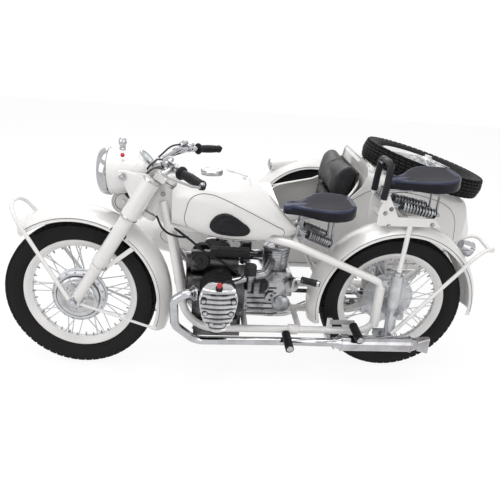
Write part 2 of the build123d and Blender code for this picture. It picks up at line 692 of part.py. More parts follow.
BAR_CORNERS = [(1106, 0, 946), (1098, 70, 948), (1030, 190, 984), (880, 385, 962)]


def handlebar():
    return pipe(BAR_CORNERS, BAR_R, [BAR_BEND, BAR_BEND])


def lever():
    """Left lever with its perch on the bar."""
    blade = pipe([(1036, 250, 960), (1010, 290, 957), (905, 400, 955), (866, 424, 960)], 5, [20, 20])
    return blade + rod((998, 232, 979), (1036, 252, 959), 11)


def grip(bar):
    start, end = Vector(962, 277.5, 974), Vector(872, 395, 961)
    run = (end - start).normalized()
    return rod(start, end, 17) + rod(start, start + run * 8, 24) - bar


def deck_height(x):
    return SPARE_Z - SPARE_LIFT / cos(radians(DECK_TILT)) + (x - SPARE_X) * tan(radians(DECK_TILT))


BODY_STATIONS = [
    # x, bottom, top, half width, corner radius
    (-598, 430, 560, 120, 55),
    (-520, 335, 700, 205, 85),
    (-340, BODY_FLOOR, 800, 255, 85),
    (95, BODY_FLOOR, 900, BODY_HALF, 80),
    (500, BODY_FLOOR, 655, BODY_HALF, 80),
    (900, BODY_FLOOR + 6, 600, 240, 90),
    (1150, 332, 520, 160, 80),
    (1280, 388, 456, 48, 30),
]
RIM_LINE = [(506, 612), (403, 636), (242, 672), (160, 712), (98, 782), (78, 835), (72, 950)]


def body_form(shrink=0.0):
    faces = []
    for x, low, high, half, corner in BODY_STATIONS:
        x = x + shrink if x < 0 else x - shrink * (x > 1200)
        plane = Plane(origin=(x, -SIDECAR_MID, (low + high) / 2), x_dir=(0, 1, 0), z_dir=(1, 0, 0))
        width, height = 2 * (half - shrink), high - low - 2 * shrink
        corner = min(max(corner - shrink, 6), height / 2 - 1, width / 2 - 1)
        faces.append(plane * RectangleRounded(width, height, corner))
    return loft(faces, ruled=True)


def above_deck(lift):
    """Everything above the sloping rear deck, raised by lift."""
    points = [
        (-800, deck_height(-800) + lift), (COAMING_X, deck_height(COAMING_X) + lift),
        (COAMING_X, 1200), (-800, 1200),
    ]
    return side_plate(points, -1200, -100)


def sidecar_body():
    """Open boat-shaped shell with a bulkhead behind the seat and an opening under the lid."""
    outer = body_form() - above_deck(0)
    outer -= side_plate(RIM_LINE + [(506, 950)], -1200, -100)
    inner = body_form(BODY_WALL) - above_deck(-BODY_WALL)
    cockpit = Pos(295, -SIDECAR_MID, 800) * extrude(
        RectangleRounded(400, 2 * BODY_HALF - 56, 90), amount=240, both=True
    )
    shell = outer - inner - cockpit
    across = (-SIDECAR_MID - 280, -SIDECAR_MID + 280)
    shell += block((COAMING_X - 10, COAMING_X), across, (BODY_FLOOR, 862)) & inner
    hatch = block((-420, -20), (-SIDECAR_MID - 140, -SIDECAR_MID + 140), (640, 1000))
    shell -= hatch
    plane = deck_plane(LID_HINGE_X)
    for y in (-131, 131):
        shell += plane * (Pos(0, y, LID_HINGE_LIFT / 2 - 1) * Box(12, 38, LID_HINGE_LIFT + 2))
        shell += plane * (Pos(0, y, LID_HINGE_LIFT) * Rot(90, 0, 0) * Cylinder(6, 38))
    return shell


def on_deck(x, lift, y=0):
    """Point on the sloping rear deck, raised square to it."""
    tilt = radians(DECK_TILT)
    return Vector(x - lift * sin(tilt), -SIDECAR_MID + y, deck_height(x) + lift * cos(tilt))


def deck_plane(x):
    """Plane of the sloping rear deck with its origin above x."""
    tilt = radians(DECK_TILT)
    return Plane(origin=on_deck(x, 0), x_dir=(cos(tilt), 0, sin(tilt)), z_dir=(-sin(tilt), 0, cos(tilt)))


def boot_lid():
    """Lid of the luggage space with its hinge arms and the spare wheel's post."""
    lid = deck_plane(-215) * Pos(0, 0, 0.5) * extrude(RectangleRounded(450, 340, 30), amount=LID_THICK)
    under_hub = SPARE_LIFT - HUB_HALF - SEAT_GAP
    lid += rod(on_deck(SPARE_X, 4), on_deck(SPARE_X, under_hub), 30)
    lid += rod(on_deck(SPARE_X, 4), on_deck(SPARE_X, SPARE_LIFT + HUB_HALF + 8), AXLE_R)
    nut_foot = SPARE_LIFT + HUB_HALF + SEAT_GAP
    lid += rod(on_deck(SPARE_X, nut_foot), on_deck(SPARE_X, SPARE_LIFT + HUB_HALF + 11), 20)
    for y in (-85, 85):
        lid += rod(on_deck(-12, 5, y), on_deck(LID_HINGE_X, LID_HINGE_LIFT, y), 5)
        start, end = [on_deck(LID_HINGE_X, LID_HINGE_LIFT, y + side) for side in (-24, 24)]
        lid += rod(start, end, 6)
    return lid


def spare_place(shape):
    """Lays a wheel flat on its post, drum down."""
    centre = on_deck(SPARE_X, SPARE_LIFT)
    return Pos(*centre) * Rot(0, -DECK_TILT, 0) * Rot(-90, 0, 0) * shape


def sidecar_fender(chassis):
    """Channel over the sidecar wheel with its lamp and the stays to the chassis."""
    channel = Pos(*SIDE_AXLE) * fender_channel(92, 392, 348, FENDER_WALL, 8, 172)
    lamp = rod((300, -SIDECAR_TRACK, 702), (470, -SIDECAR_TRACK, 682), 36)
    inside = Pos(*SIDE_AXLE) * rod((0, -60, 0), (0, 60, 0), 386)
    stays = rod((-140, -890, RAIL_Z), (-150, -1050, 345), 8)
    stays += rod((480, -890, RAIL_Z), (545, -1050, 410), 8)
    return channel + (lamp - inside) + (stays - chassis)


def sidecar_chassis():
    """Ladder of round tubes under the sidecar body."""
    frame = pipe([(-250, RAIL_Y, 330), (-160, RAIL_Y, RAIL_Z), (900, RAIL_Y, RAIL_Z)], RAIL_R, [60])
    frame += rod((-160, FAR_RAIL_Y, RAIL_Z), (900, FAR_RAIL_Y, RAIL_Z), RAIL_R - 4)
    for x in CROSS_X:
        frame += rod((x, RAIL_Y, RAIL_Z), (x, FAR_RAIL_Y - 5, RAIL_Z), RAIL_R - 2)
    return frame + rod((ARM_X, FAR_RAIL_Y, RAIL_Z), (ARM_X, ARM_Y, RAIL_Z), RAIL_R - 2)


def sidecar_links(loops, chassis):
    """Two ball joints low down and two struts that brace the sidecar to the motorcycle."""
    bars = [
        pipe([(ARM_X, RAIL_Y, RAIL_Z + 5), (ARM_X, -290, 288), (ARM_X - 16, -LOOP_Y, 300)], 15, [40]),
        rod((660, RAIL_Y, RAIL_Z), (660, -LOOP_Y, LOOP_BOTTOM), 15),
        rod((260, RAIL_Y, RAIL_Z), (462, -LOOP_Y + 2, 631), 12),
        rod((880, RAIL_Y, RAIL_Z), (1012, -66, 545), 12),
    ]
    return group(*[bar - loops - chassis for bar in bars])


def sidecar_axle():
    """Arm beside the wheel with the stub axle, the brake's fixed plate and the nut."""
    x, z, face = SIDECAR_LEAD, TYRE_R, HUB_HALF - SIDECAR_TRACK
    outline = [
        (x - 105, 236), (x - 65, 236), (x + 24, 322), (x + 24, 360), (x - 22, 360), (x - 105, 275),
    ]
    arm = side_plate(outline, ARM_Y - 18, ARM_Y)
    stub = rod((x, ARM_Y - 10, z), (x, -SIDECAR_TRACK - HUB_HALF - 14, z), AXLE_R)
    plate = rod((x, face - 9, z), (x, face + 4, z), DRUM_R - 29)
    plate += rod((x, face + 4, z), (x, ARM_Y - 18, z), 30)
    hub_end = -SIDECAR_TRACK - HUB_HALF
    nut = rod((x, hub_end - 10, z), (x, hub_end - RUNNING_GAP, z), 18)
    return arm + stub + plate + nut


def body_mounts(chassis):
    """Leaf springs under the rear of the sidecar body and blocks under its front."""
    mounts = []
    for y in (-SIDECAR_MID - 190, -SIDECAR_MID + 190):
        leaf = block((-330, -60), (y - 22, y + 22), (276, 284))
        leaf += block((-175, -105), (y - 30, y + 30), (282, BODY_FLOOR))
        leaf += block((-165, -115), (y - 26, y + 26), (RAIL_Z, 277)) - chassis
        foot = block((CROSS_X[2] - 30, CROSS_X[2] + 30), (y - 30, y + 30), (RAIL_Z, BODY_FLOOR))
        foot -= chassis
        mounts += [leaf, foot]
    return group(*mounts)


def seat_base():
    """Seat box and back board in the sidecar."""
    floor = BODY_FLOOR + BODY_WALL
    outline = [(130, floor), (470, floor), (470, 385), (152, 385), (110, 834), (98, 834)]
    return side_plate(outline, -SIDECAR_MID - 188, -SIDECAR_MID + 188)


def sidecar_cushions():
    seat = block((160, 475), (-SIDECAR_MID - 205, -SIDECAR_MID + 205), (385 + SEAT_GAP, 485))
    back_outline = [(143, 486), (250, 486), (196, 866), (150, 872), (111, 850)]
    back = side_plate(back_outline, -SIDECAR_MID - 200, -SIDECAR_MID + 200)
    return group(seat - Pos(SEAT_GAP, 0, 0) * seat_base(), back - Pos(SEAT_GAP, 0, 0) * seat_base())


def frame_nodes():
    left_loop = frame_loop()
    loops = group(left_loop, other_side(left_loop))
    nodes = {"frame_loops": loops, "frame_centre": frame_centre(loops)}
    left_plunger = plunger() - left_loop
    nodes["rear_plungers"] = both_sides(left_plunger)
    nodes["rear_axle"] = rear_axle() - nodes["rear_plungers"]
    return nodes


def rear_nodes(loops, plungers):
    fender = rear_fender()
    saddles = [Pos(x, 0, z) * Rot(0, tilt, 0) * saddle() for x, z, tilt in (FRONT_SEAT, REAR_SEAT)]
    carriers = [
        saddle_frame(FRONT_SEAT, [SADDLE_PIVOT, 290], SPRING_ANCHOR, (330, 640)),
        saddle_frame(REAR_SEAT, [(128, 846), -150], (96, 842), (-120, 798)),
    ]
    rack = rear_rack(fender, plungers)
    return {
        "rear_fender": fender,
        "rear_bumper": rear_bumper(),
        "rear_rack": rack,
        "saddles": group(*saddles),
        "saddle_frames": group(*[carrier - loops - rack for carrier in carriers]),
        "tail_lamp": tail_lamp(fender),
    }


def engine_nodes(loops, plungers):
    barrels = both_sides(cylinder())
    pot = air_cleaner()
    pipe_left = exhaust(loops)
    return {
        "crankcase": engine(loops),
        "cylinders": barrels,
        "cylinder_heads": both_sides(cylinder_head()),
        "carburettors": both_sides(carburettor(barrels, pot)),
        "air_cleaner": pot,
        "gearbox": gearbox(),
        "footrests": footrests(loops),
        "kick_lever": kick_lever(),
        "exhausts": both_sides(pipe_left),
        "final_drive": final_drive(plungers, loops),
    }


def sidecar_nodes(loops):
    chassis = sidecar_chassis()
    return {
        "sidecar_chassis": chassis,
        "sidecar_links": sidecar_links(loops, chassis),
        "sidecar_axle": sidecar_axle(),
        "sidecar_body_mounts": body_mounts(chassis),
        "sidecar_body": sidecar_body(),
        "sidecar_seat_base": seat_base(),
        "sidecar_cushions": sidecar_cushions(),
        "sidecar_fender": sidecar_fender(chassis),
        "boot_lid": boot_lid(),
    }


def front_nodes():
    """Everything that steers, in the straight-ahead position."""
    bar = handlebar()
    bars = bar + other_side(bar)
    stem, plates = fork_yokes(bars)
    shell, ring = headlamp()
    covers = both_sides(fork_covers(plates, shell))
    sliders = both_sides(fork_slider())
    levers = lever()
    return {
        "fork_yokes": stem + plates,
        "fork_covers": covers,
        "fork_sliders": sliders,
        "front_axle": front_axle(),
        "front_fender": front_fender(covers, sliders),
        "front_bumper": front_bumper(),
        "headlamp": (shell - plates - bars).solids().sort_by(SortBy.VOLUME)[-1],
        "headlamp_rim": ring,
        "horn": horn(plates),
        "handlebar": bars + levers + other_side(levers),
        "grips": both_sides(grip(bars)),
    }


def wheel_nodes(name, place):
    return {
        f"{name}_tyre": place(tyre()),
        f"{name}_rim": place(rim()),
        f"{name}_hub": place(group(hub(), spokes())),
    }


def build():
    """Every node in the layout's own place."""
    nodes = frame_nodes()
    loops, plungers = nodes["frame_loops"], nodes["rear_plungers"]
    nodes.update(rear_nodes(loops, plungers))
    body, lid = tank()
    nodes.update({"fuel_tank": body - loops, "tank_lid": lid, "filler_cap": filler_cap()})
    nodes["knee_pads"] = both_sides(knee_pad(body))
    nodes.update(engine_nodes(loops, plungers))
    nodes.update(sidecar_nodes(loops))
    steering = Axis(STEER_FOOT, UP)
    front = front_nodes()
    front.update(wheel_nodes("front", lambda shape: Pos(*FRONT_AXLE) * shape))
    nodes.update({name: shape.rotate(steering, STEER_AT_REST) for name, shape in front.items()})
    nodes.update(wheel_nodes("rear", lambda shape: Pos(*REAR_AXLE) * Rot(0, 0, 180) * shape))
    nodes.update(wheel_nodes("sidecar", lambda shape: Pos(*SIDE_AXLE) * shape))
    nodes.update(wheel_nodes("spare", spare_place))
    return nodes


def place_on_ground(nodes):
    """Moves everything so that the origin is under the middle of the whole object."""
    box = Compound([solid for shape in nodes.values() for solid in shape.solids()]).bounding_box()
    shift = Vector(-(box.min.X + box.max.X) / 2, -(box.min.Y + box.max.Y) / 2, -box.min.Z)
    return {name: Pos(*shift) * shape for name, shape in nodes.items()}, shift


def main():
    os.makedirs("parts", exist_ok=True)
    nodes, shift = place_on_ground(build())
    for name, shape in nodes.items():
        solids = shape.solids()
        export_step(solids[0] if len(solids) == 1 else Compound(solids), f"parts/{name}.step")
        print(name, len(solids))


if __name__ == "__main__":
    main()
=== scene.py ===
import json
import math
import bmesh
import bpy
from bpy.props import FloatProperty, FloatVectorProperty, IntProperty, PointerProperty
from mathutils import Matrix, Vector
from mathutils.bvhtree import BVHTree


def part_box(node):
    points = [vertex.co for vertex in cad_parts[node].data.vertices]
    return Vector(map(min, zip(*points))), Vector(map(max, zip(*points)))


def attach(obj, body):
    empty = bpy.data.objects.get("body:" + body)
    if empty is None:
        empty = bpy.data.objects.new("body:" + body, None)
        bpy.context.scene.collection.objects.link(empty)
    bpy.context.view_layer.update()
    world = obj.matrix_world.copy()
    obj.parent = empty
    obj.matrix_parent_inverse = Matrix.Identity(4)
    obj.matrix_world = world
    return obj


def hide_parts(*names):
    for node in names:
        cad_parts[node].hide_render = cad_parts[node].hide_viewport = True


bl_info = {
    "name": "Sidecar motorcycle",
    "version": (1, 0, 0),
    "blender": (4, 5, 0),
    "location": "View3D > Sidebar > Sidecar",
    "description": "Finishes, tyres, soft goods and fittings for the packed sidecar motorcycle",
    "category": "Object",
}

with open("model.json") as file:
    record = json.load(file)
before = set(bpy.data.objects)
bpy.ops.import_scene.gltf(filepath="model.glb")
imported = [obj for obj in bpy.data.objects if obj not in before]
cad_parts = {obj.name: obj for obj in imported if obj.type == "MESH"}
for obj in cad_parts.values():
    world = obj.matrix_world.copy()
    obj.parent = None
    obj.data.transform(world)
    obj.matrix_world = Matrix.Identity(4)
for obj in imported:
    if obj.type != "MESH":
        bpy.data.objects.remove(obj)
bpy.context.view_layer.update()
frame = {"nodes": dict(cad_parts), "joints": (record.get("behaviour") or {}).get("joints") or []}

# Places are given in the machine's own millimetres: x ahead of the rear axle, y to the
# rider's left of the motorcycle's middle plane, z above the ground.
MM = 0.001
TYRE_R = 340
WHEELBASE = 1430
TRACK = 1140
LEAD = 205
SIDECAR_MID = 640
LEG_Y = 97
LOOP_Y = 102
DECK_TILT = math.radians(13.8)
SPARE = (-300, -640, 842)
TURNED = math.radians(-7.07)

LOW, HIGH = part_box("rear_tyre")
ORIGIN = Vector(((LOW.x + HIGH.x) / 2, (LOW.y + HIGH.y) / 2, (LOW.z + HIGH.z) / 2 - TYRE_R * MM))
STEERING = next(joint for joint in frame["joints"] if joint["name"] == "steering")
STEER_POS, STEER_AXIS = Vector(STEERING["pos_m"]), Vector(STEERING["axis"])
STEER = (
    Matrix.Translation(STEER_POS) @ Matrix.Rotation(TURNED, 4, STEER_AXIS) @ Matrix.Translation(-STEER_POS)
)
IN_ROW = Matrix.Translation(ORIGIN) @ Matrix.Scale(MM, 4)
IN_FORK = STEER @ IN_ROW


def at(x, y, z):
    return IN_ROW @ Vector((x, y, z))


def facing(x, y, z, axis, place=IN_ROW, spin=0.0):
    """Matrix that carries local millimetres to a place, with local Z along an axis."""
    turn = Vector(axis).to_track_quat("Z", "Y").to_matrix().to_4x4()
    return place @ Matrix.Translation((x, y, z)) @ turn @ Matrix.Rotation(math.radians(spin), 4, "Z")


# Shader maths


class Value:
    """A number, colour or vector in a tree of shader nodes, for use in sums."""

    def __init__(self, nodes, socket):
        self.nodes, self.socket = nodes, socket

    def math(self, operation, first, second):
        return self.nodes.node("ShaderNodeMath", {"operation": operation}, {0: first, 1: second})

    def __add__(self, other):
        return self.math("ADD", self, other)

    def __mul__(self, other):
        return self.math("MULTIPLY", self, other)

    def __sub__(self, other):
        return self.math("SUBTRACT", self, other)

    def __rsub__(self, other):
        return self.math("SUBTRACT", other, self)

    __radd__, __rmul__ = __add__, __mul__

    def over(self, low, high):
        """0 below low, 1 above high and even between."""
        sockets = {"Value": self, "From Min": low, "From Max": high}
        return self.nodes.node("ShaderNodeMapRange", {"clamp": True}, sockets)

    def mix(self, first, second):
        """First colour where this is 0, second where it is 1."""
        sockets = {"Factor": self, 6: first, 7: second}
        return self.nodes.node("ShaderNodeMix", {"data_type": "RGBA"}, sockets, 2)


class Nodes:
    """The nodes of a material or of the world, emptied."""

    def __init__(self, owner):
        owner.use_nodes = True
        self.tree = owner.node_tree
        self.tree.nodes.clear()

    def put(self, socket, value):
        if isinstance(value, Value):
            self.tree.links.new(value.socket, socket)
        elif isinstance(value, (tuple, list)) and len(value) == 3 and socket.type == "RGBA":
            socket.default_value = (*value, 1)
        else:
            socket.default_value = value

    def node(self, kind, settings=None, sockets=None, output=0):
        made = self.tree.nodes.new(kind)
        for key, value in (settings or {}).items():
            setattr(made, key, value)
        for key, value in (sockets or {}).items():
            self.put(made.inputs[key], value)
        return Value(self, made.outputs[output])

    def seen(self):
        """1 where something is seen directly, in a reflection or through glass."""
        path = self.node("ShaderNodeLightPath").socket.node
        camera, glossy, through = (
            Value(self, path.outputs[ray]) for ray in ("Is Camera Ray", "Is Glossy Ray", "Is Transmission Ray")
        )
        return camera + glossy + through


class Finish(Nodes):
    """A material with one main shader."""

    def __init__(self, name, **sockets):
        self.material = bpy.data.materials.new(name)
        super().__init__(self.material)
        self.out = self.tree.nodes.new("ShaderNodeOutputMaterial")
        self.shader = self.tree.nodes.new("ShaderNodeBsdfPrincipled")
        self.tree.links.new(self.shader.outputs[0], self.out.inputs[0])
        self.set(**sockets)

    def set(self, **sockets):
        for key, value in sockets.items():
            self.put(self.shader.inputs[key.replace("_", " ").title().replace("Ior", "IOR")], value)

    def spot(self):
        return self.node("ShaderNodeTexCoord", output=3)

    def attribute(self, name):
        return self.node("ShaderNodeAttribute", {"attribute_name": name}, output=2)

    def noise(self, scale, detail=3.0, rough=0.55):
        sockets = {"Vector": self.spot(), "Scale": scale, "Detail": detail, "Roughness": rough}
        return self.node("ShaderNodeTexNoise", None, sockets)

    def cells(self, scale):
        return self.node("ShaderNodeTexVoronoi", None, {"Vector": self.spot(), "Scale": scale})

    def bump(self, height, depth, strength=1.0):
        sockets = {"Height": height, "Distance": depth, "Strength": strength}
        self.set(Normal=self.node("ShaderNodeBump", None, sockets))


def shade(colour, share):
    return tuple(channel * share for channel in colour)


def paint_finish(name, colour):
    """Gloss enamel with faint flow marks and a little dirt low in the surface."""
    finish = Finish(name, coat_weight=0.5, coat_roughness=0.06, specular_ior_level=0.5)
    cloud = finish.noise(4.0).over(0.35, 0.75)
    grain = finish.noise(160.0, 2.0)
    speck = finish.noise(46.0, 4.0).over(0.66, 0.8)
    base = cloud.mix(colour, shade(colour, 0.955))
    finish.set(base_color=(speck * 0.35).mix(base, shade(colour, 0.82)))
    finish.set(roughness=finish.noise(9.0) * 0.14 + 0.16)
    finish.bump(grain, 0.0004, 0.22)
    return finish.material


def metal_finish(name, colour, dark, rough, spread, grain_scale, grain_depth, stain_scale):
    """Bare or plated metal with stains and a fine surface."""
    finish = Finish(name, metallic=1.0)
    stain = finish.noise(stain_scale, 5.0).over(0.42, 0.72)
    grain = finish.noise(grain_scale, 4.0)
    finish.set(base_color=stain.mix(colour, dark), roughness=stain * spread + rough)
    finish.bump(grain, grain_depth, 0.6)
    return finish.material


def rubber_finish(name, colour, rough, grain_scale, grain_depth):
    """Rubber or plastic with dust in its grain."""
    finish = Finish(name, specular_ior_level=0.22)
    dust = finish.noise(14.0, 5.0).over(0.45, 0.85)
    grain = finish.noise(grain_scale, 5.0)
    finish.set(base_color=(dust * 0.5).mix(colour, tuple(c + 0.012 for c in colour)))
    finish.set(roughness=dust * 0.15 + rough)
    finish.bump(grain, grain_depth, 0.8)
    return finish.material


def leather_finish(name, colour):
    """Black leather cloth with pebble grain and worn, shinier high spots."""
    finish = Finish(name, specular_ior_level=0.16, coat_weight=0.1, coat_roughness=0.14)
    pebble = finish.cells(330.0)
    crease = finish.noise(26.0, 6.0, 0.62)
    wear = finish.noise(11.0, 4.0).over(0.5, 0.8)
    finish.set(base_color=wear.mix(colour, tuple(c * 1.7 + 0.003 for c in colour)))
    finish.set(roughness=(1 - wear) * 0.16 + 0.27)
    finish.bump(pebble * 0.35 + crease, 0.0016, 0.75)
    return finish.material


def saddle_finish(name, colour, border):
    """Moulded rubber: a grained panel inside a smooth, bluish border, and a black skirt."""
    finish = Finish(name, specular_ior_level=0.22)
    zone = finish.attribute("panel")
    panel, top = zone.over(0.7, 0.85), zone.over(0.2, 0.4)
    grain = finish.cells(300.0)
    wear = finish.noise(16.0, 5.0).over(0.4, 0.8)
    skirt = top.mix((0.005, 0.005, 0.009), wear.mix(border, shade(border, 1.5)))
    finish.set(base_color=panel.mix(skirt, (wear * 0.5 + grain * 0.5).mix(colour, shade(colour, 1.8))))
    finish.set(roughness=panel * 0.25 + 0.34 + wear * 0.08)
    finish.bump(grain * panel, 0.002, 0.9)
    return finish.material


def tyre_finish(name, colour):
    """Matt tyre rubber with dust."""
    finish = Finish(name, specular_ior_level=0.2)
    dust = finish.noise(22.0, 5.0).over(0.4, 0.8)
    finish.set(base_color=(dust * 0.6).mix(colour, tuple(c + 0.009 for c in colour)))
    finish.set(roughness=dust * 0.2 + 0.62)
    finish.bump(finish.noise(420.0, 4.0), 0.0005, 0.7)
    return finish.material


def glass_finish(name, colour, clear, rough=0.04):
    """Lamp glass with moulded ripples."""
    finish = Finish(name, transmission_weight=clear, ior=1.48)
    ripple = finish.noise(60.0, 1.0)
    finish.set(base_color=ripple.over(0.3, 0.7).mix(colour, shade(colour, 0.86)), roughness=rough)
    finish.bump(ripple, 0.0012, 0.35)
    return finish.material


# Shapes, in millimetres

STANDING = Matrix.Rotation(math.pi / 2, 4, "X")


def settled(bm):
    bmesh.ops.remove_doubles(bm, verts=bm.verts, dist=1e-3)
    bmesh.ops.recalc_face_normals(bm, faces=bm.faces)
    return bm


def lathe(profile, steps=32, closed=False):
    """Turned shape about local Z from (radius, height) points."""
    bm = bmesh.new()
    verts = [bm.verts.new((r, 0, h)) for r, h in profile]
    edges = [bm.edges.new(pair) for pair in zip(verts, verts[1:] + (verts[:1] if closed else []))]
    bmesh.ops.spin(
        bm, geom=verts + edges, cent=(0, 0, 0), axis=(0, 0, 1), angle=math.tau, steps=steps, use_merge=True
    )
    return settled(bm)


def rounded(bm, width, segments=2):
    bmesh.ops.bevel(
        bm, geom=bm.edges[:], offset=width, offset_type="OFFSET", affect="EDGES", segments=segments,
        profile=0.5, material=-1, clamp_overlap=True,
    )
    return bm


def slab(outline, depth, bevel=0.0, segments=2):
    """Plate of an outline in local X and Y, from height 0 to depth."""
    bm = bmesh.new()
    face = bm.faces.new([bm.verts.new((x, y, 0)) for x, y in outline])
    grown = bmesh.ops.extrude_face_region(bm, geom=[face])["geom"]
    moved = [item for item in grown if isinstance(item, bmesh.types.BMVert)]
    bmesh.ops.translate(bm, verts=moved, vec=(0, 0, depth))
    bmesh.ops.recalc_face_normals(bm, faces=bm.faces)
    return rounded(bm, bevel, segments) if bevel else bm


def box(x, y, depth, bevel=0.0):
    return slab([(x[0], y[0]), (x[1], y[0]), (x[1], y[1]), (x[0], y[1])], depth, bevel)


def turned(profile, spot, axis, place=IN_ROW, steps=32, closed=False):
    """A lathed shape and its place."""
    return lathe(profile, steps, closed), facing(*spot, axis, place)


def standing(shape, x, y, z, depth, place=IN_ROW):
    """A slab stood on its edge, with its outline in X and Z and its depth centred on y."""
    return shape, place @ Matrix.Translation((x, y + depth / 2, z)) @ STANDING


def ring_points(radius, count, start=0.0, span=360.0):
    step = span / (count if span == 360.0 else count - 1)
    turns = [math.radians(start + step * k) for k in range(count)]
    return [(radius * math.cos(a), radius * math.sin(a)) for a in turns]


def nut(size, height, dome=0.0):
    """Six-sided nut with a washer under it and, if asked, a domed end."""
    bm = lathe([(0, 0), (size * 1.25, 0), (size * 1.25, size * 0.16), (0, size * 0.16)], 20)
    hexagon = slab(ring_points(size, 6), height, size * 0.08, 1)
    merge(bm, hexagon, Matrix.Translation((0, 0, size * 0.14)))
    if dome:
        cap = [(size * 0.8 * math.cos(a), height + dome * math.sin(a)) for a in (0.5, 1.0, 1.57)]
        merge(bm, lathe([(0, height - 1), (size * 0.8, height - 1)] + cap, 16))
    return bm


def merge(bm, other, matrix=None):
    """Adds another shape to this one."""
    if matrix is not None:
        other.transform(matrix)
    mesh = bpy.data.meshes.new("part")
    other.to_mesh(mesh)
    other.free()
    bm.from_mesh(mesh)
    bpy.data.meshes.remove(mesh)
    return bm


def curve_mesh(curve):
    """Mesh of a curve, which is then removed."""
    holder = bpy.data.objects.new("curve", curve)
    bpy.context.scene.collection.objects.link(holder)
    bpy.context.view_layer.update()
    mesh = bpy.data.meshes.new_from_object(holder)
    bpy.data.objects.remove(holder)
    bpy.data.curves.remove(curve)
    return mesh


def line(points, cyclic=False, steps=8):
    """Points along a smooth line through the given ones."""
    curve = bpy.data.curves.new("line", "CURVE")
    curve.dimensions = "3D"
    curve.resolution_u = steps
    spline = curve.splines.new("BEZIER")
    spline.bezier_points.add(len(points) - 1)
    for knot, point in zip(spline.bezier_points, points):
        knot.co = point
        knot.handle_left_type = knot.handle_right_type = "AUTO"
    spline.use_cyclic_u = cyclic
    mesh = curve_mesh(curve)
    found = [vert.co.copy() for vert in mesh.vertices]
    bpy.data.meshes.remove(mesh)
    return found


def tube(points, radius, sides=10, cyclic=False):
    """Round bar along the points, in the points' own units."""
    curve = bpy.data.curves.new("tube", "CURVE")
    curve.dimensions = "3D"
    curve.bevel_depth = radius
    curve.bevel_resolution = max(0, sides // 4 - 1) if sides < 12 else 2
    curve.use_fill_caps = True
    spline = curve.splines.new("POLY")
    spline.points.add(len(points) - 1)
    for knot, point in zip(spline.points, points):
        knot.co = (*point, 1)
    spline.use_cyclic_u = cyclic
    mesh = curve_mesh(curve)
    bm = bmesh.new()
    bm.from_mesh(mesh)
    bpy.data.meshes.remove(mesh)
    bmesh.ops.remove_doubles(bm, verts=bm.verts, dist=radius * 1e-3)
    bmesh.ops.recalc_face_normals(bm, faces=bm.faces)
    return bm


def cable(points, radius, place, sides=10, steps=8):
    """A round cable through the points, and its place."""
    return tube(line([Vector(p) for p in points], steps=steps), radius, sides), place


def mirrored(half):
    """A path from its left half, which ends on the middle plane."""
    return half + [(x, -y, z) for x, y, z in reversed(half[:-1])]


def helix(start, end, radius, turns, per_turn=14):
    """Points of a coil about the line between two points."""
    run = Vector(end) - Vector(start)
    frame_turn = run.to_track_quat("Z", "Y").to_matrix()
    count = int(turns * per_turn)
    points = []
    for k in range(count + 1):
        angle = math.tau * k / per_turn
        ring = frame_turn @ Vector((radius * math.cos(angle), radius * math.sin(angle), 0))
        points.append(Vector(start) + run * (k / count) + ring)
    return points


def skin(rings):
    """Closed shell over rings of points, each with as many."""
    bm = bmesh.new()
    loops = []
    for points in rings:
        ring = [bm.verts.new(point) for point in points]
        loops.append([bm.edges.new((ring[k - 1], ring[k])) for k in range(len(ring))])
    for first, second in zip(loops, loops[1:]):
        bmesh.ops.bridge_loops(bm, edges=first + second)
    for edges in (loops[0], loops[-1]):
        bmesh.ops.contextual_create(bm, geom=edges)
    bmesh.ops.recalc_face_normals(bm, faces=bm.faces)
    return bm


def between(table, x):
    """Value at x of a table of (x, value) rows, which is held beyond its ends."""
    for (x0, v0), (x1, v1) in zip(table, table[1:]):
        if x0 <= x <= x1:
            return v0 + (v1 - v0) * (x - x0) / (x1 - x0)
    return table[0][1] if x < table[0][0] else table[-1][1]


MATERIALS = {}


def piece(name, body, finish, *shapes, smooth=32.0):
    """One object in the row's frame, made of bmeshes that are each given with its matrix."""
    whole = bmesh.new()
    for shape, matrix in shapes:
        merge(whole, shape, matrix)
    mesh = bpy.data.meshes.new(name)
    whole.to_mesh(mesh)
    whole.free()
    obj = bpy.data.objects.new(name, mesh)
    bpy.context.scene.collection.objects.link(obj)
    mesh.materials.append(MATERIALS[finish])
    mesh.shade_smooth()
    mesh.set_sharp_from_angle(angle=math.radians(smooth))
    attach(obj, body)
    return obj


def surface(*nodes):
    """Something to cast lines at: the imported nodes' own faces."""
    bm = bmesh.new()
    for node in nodes:
        bm.from_mesh(frame["nodes"][node].data)
    tree = BVHTree.FromBMesh(bm)
    bm.free()
    return tree


def landed(tree, point, toward, back, lift, reach):
    """The point moved along a direction until it lies on the surface, or None."""
    hit, normal, _, _ = tree.ray_cast(point - toward * back, toward, back + reach)
    if hit is None:
        return None
    return hit + normal * (-lift if normal.dot(toward) > 0 else lift)


def cast_runs(tree, points, toward, back=0.6, lift=0.0004, reach=0.12):
    """Points moved along a direction until they lie on the surface, in runs broken where it has a gap."""
    toward = Vector(toward).normalized()
    runs = [[]]
    for point in points:
        found = landed(tree, point, toward, back, lift, reach)
        if found is None:
            runs.append([])
        else:
            runs[-1].append(found)
    return [run for run in runs if len(run) > 2]


def cast(tree, points, toward, back=0.6, lift=0.0004, reach=3.0):
    """As cast_runs, where the surface has no gap."""
    toward = Vector(toward).normalized()
    found = [landed(tree, point, toward, back, lift, reach) for point in points]
    if any(point is None for point in found):
        raise RuntimeError(f"a line leaves its surface near {tuple(points[0])}")
    return found


# Settings that a user would change


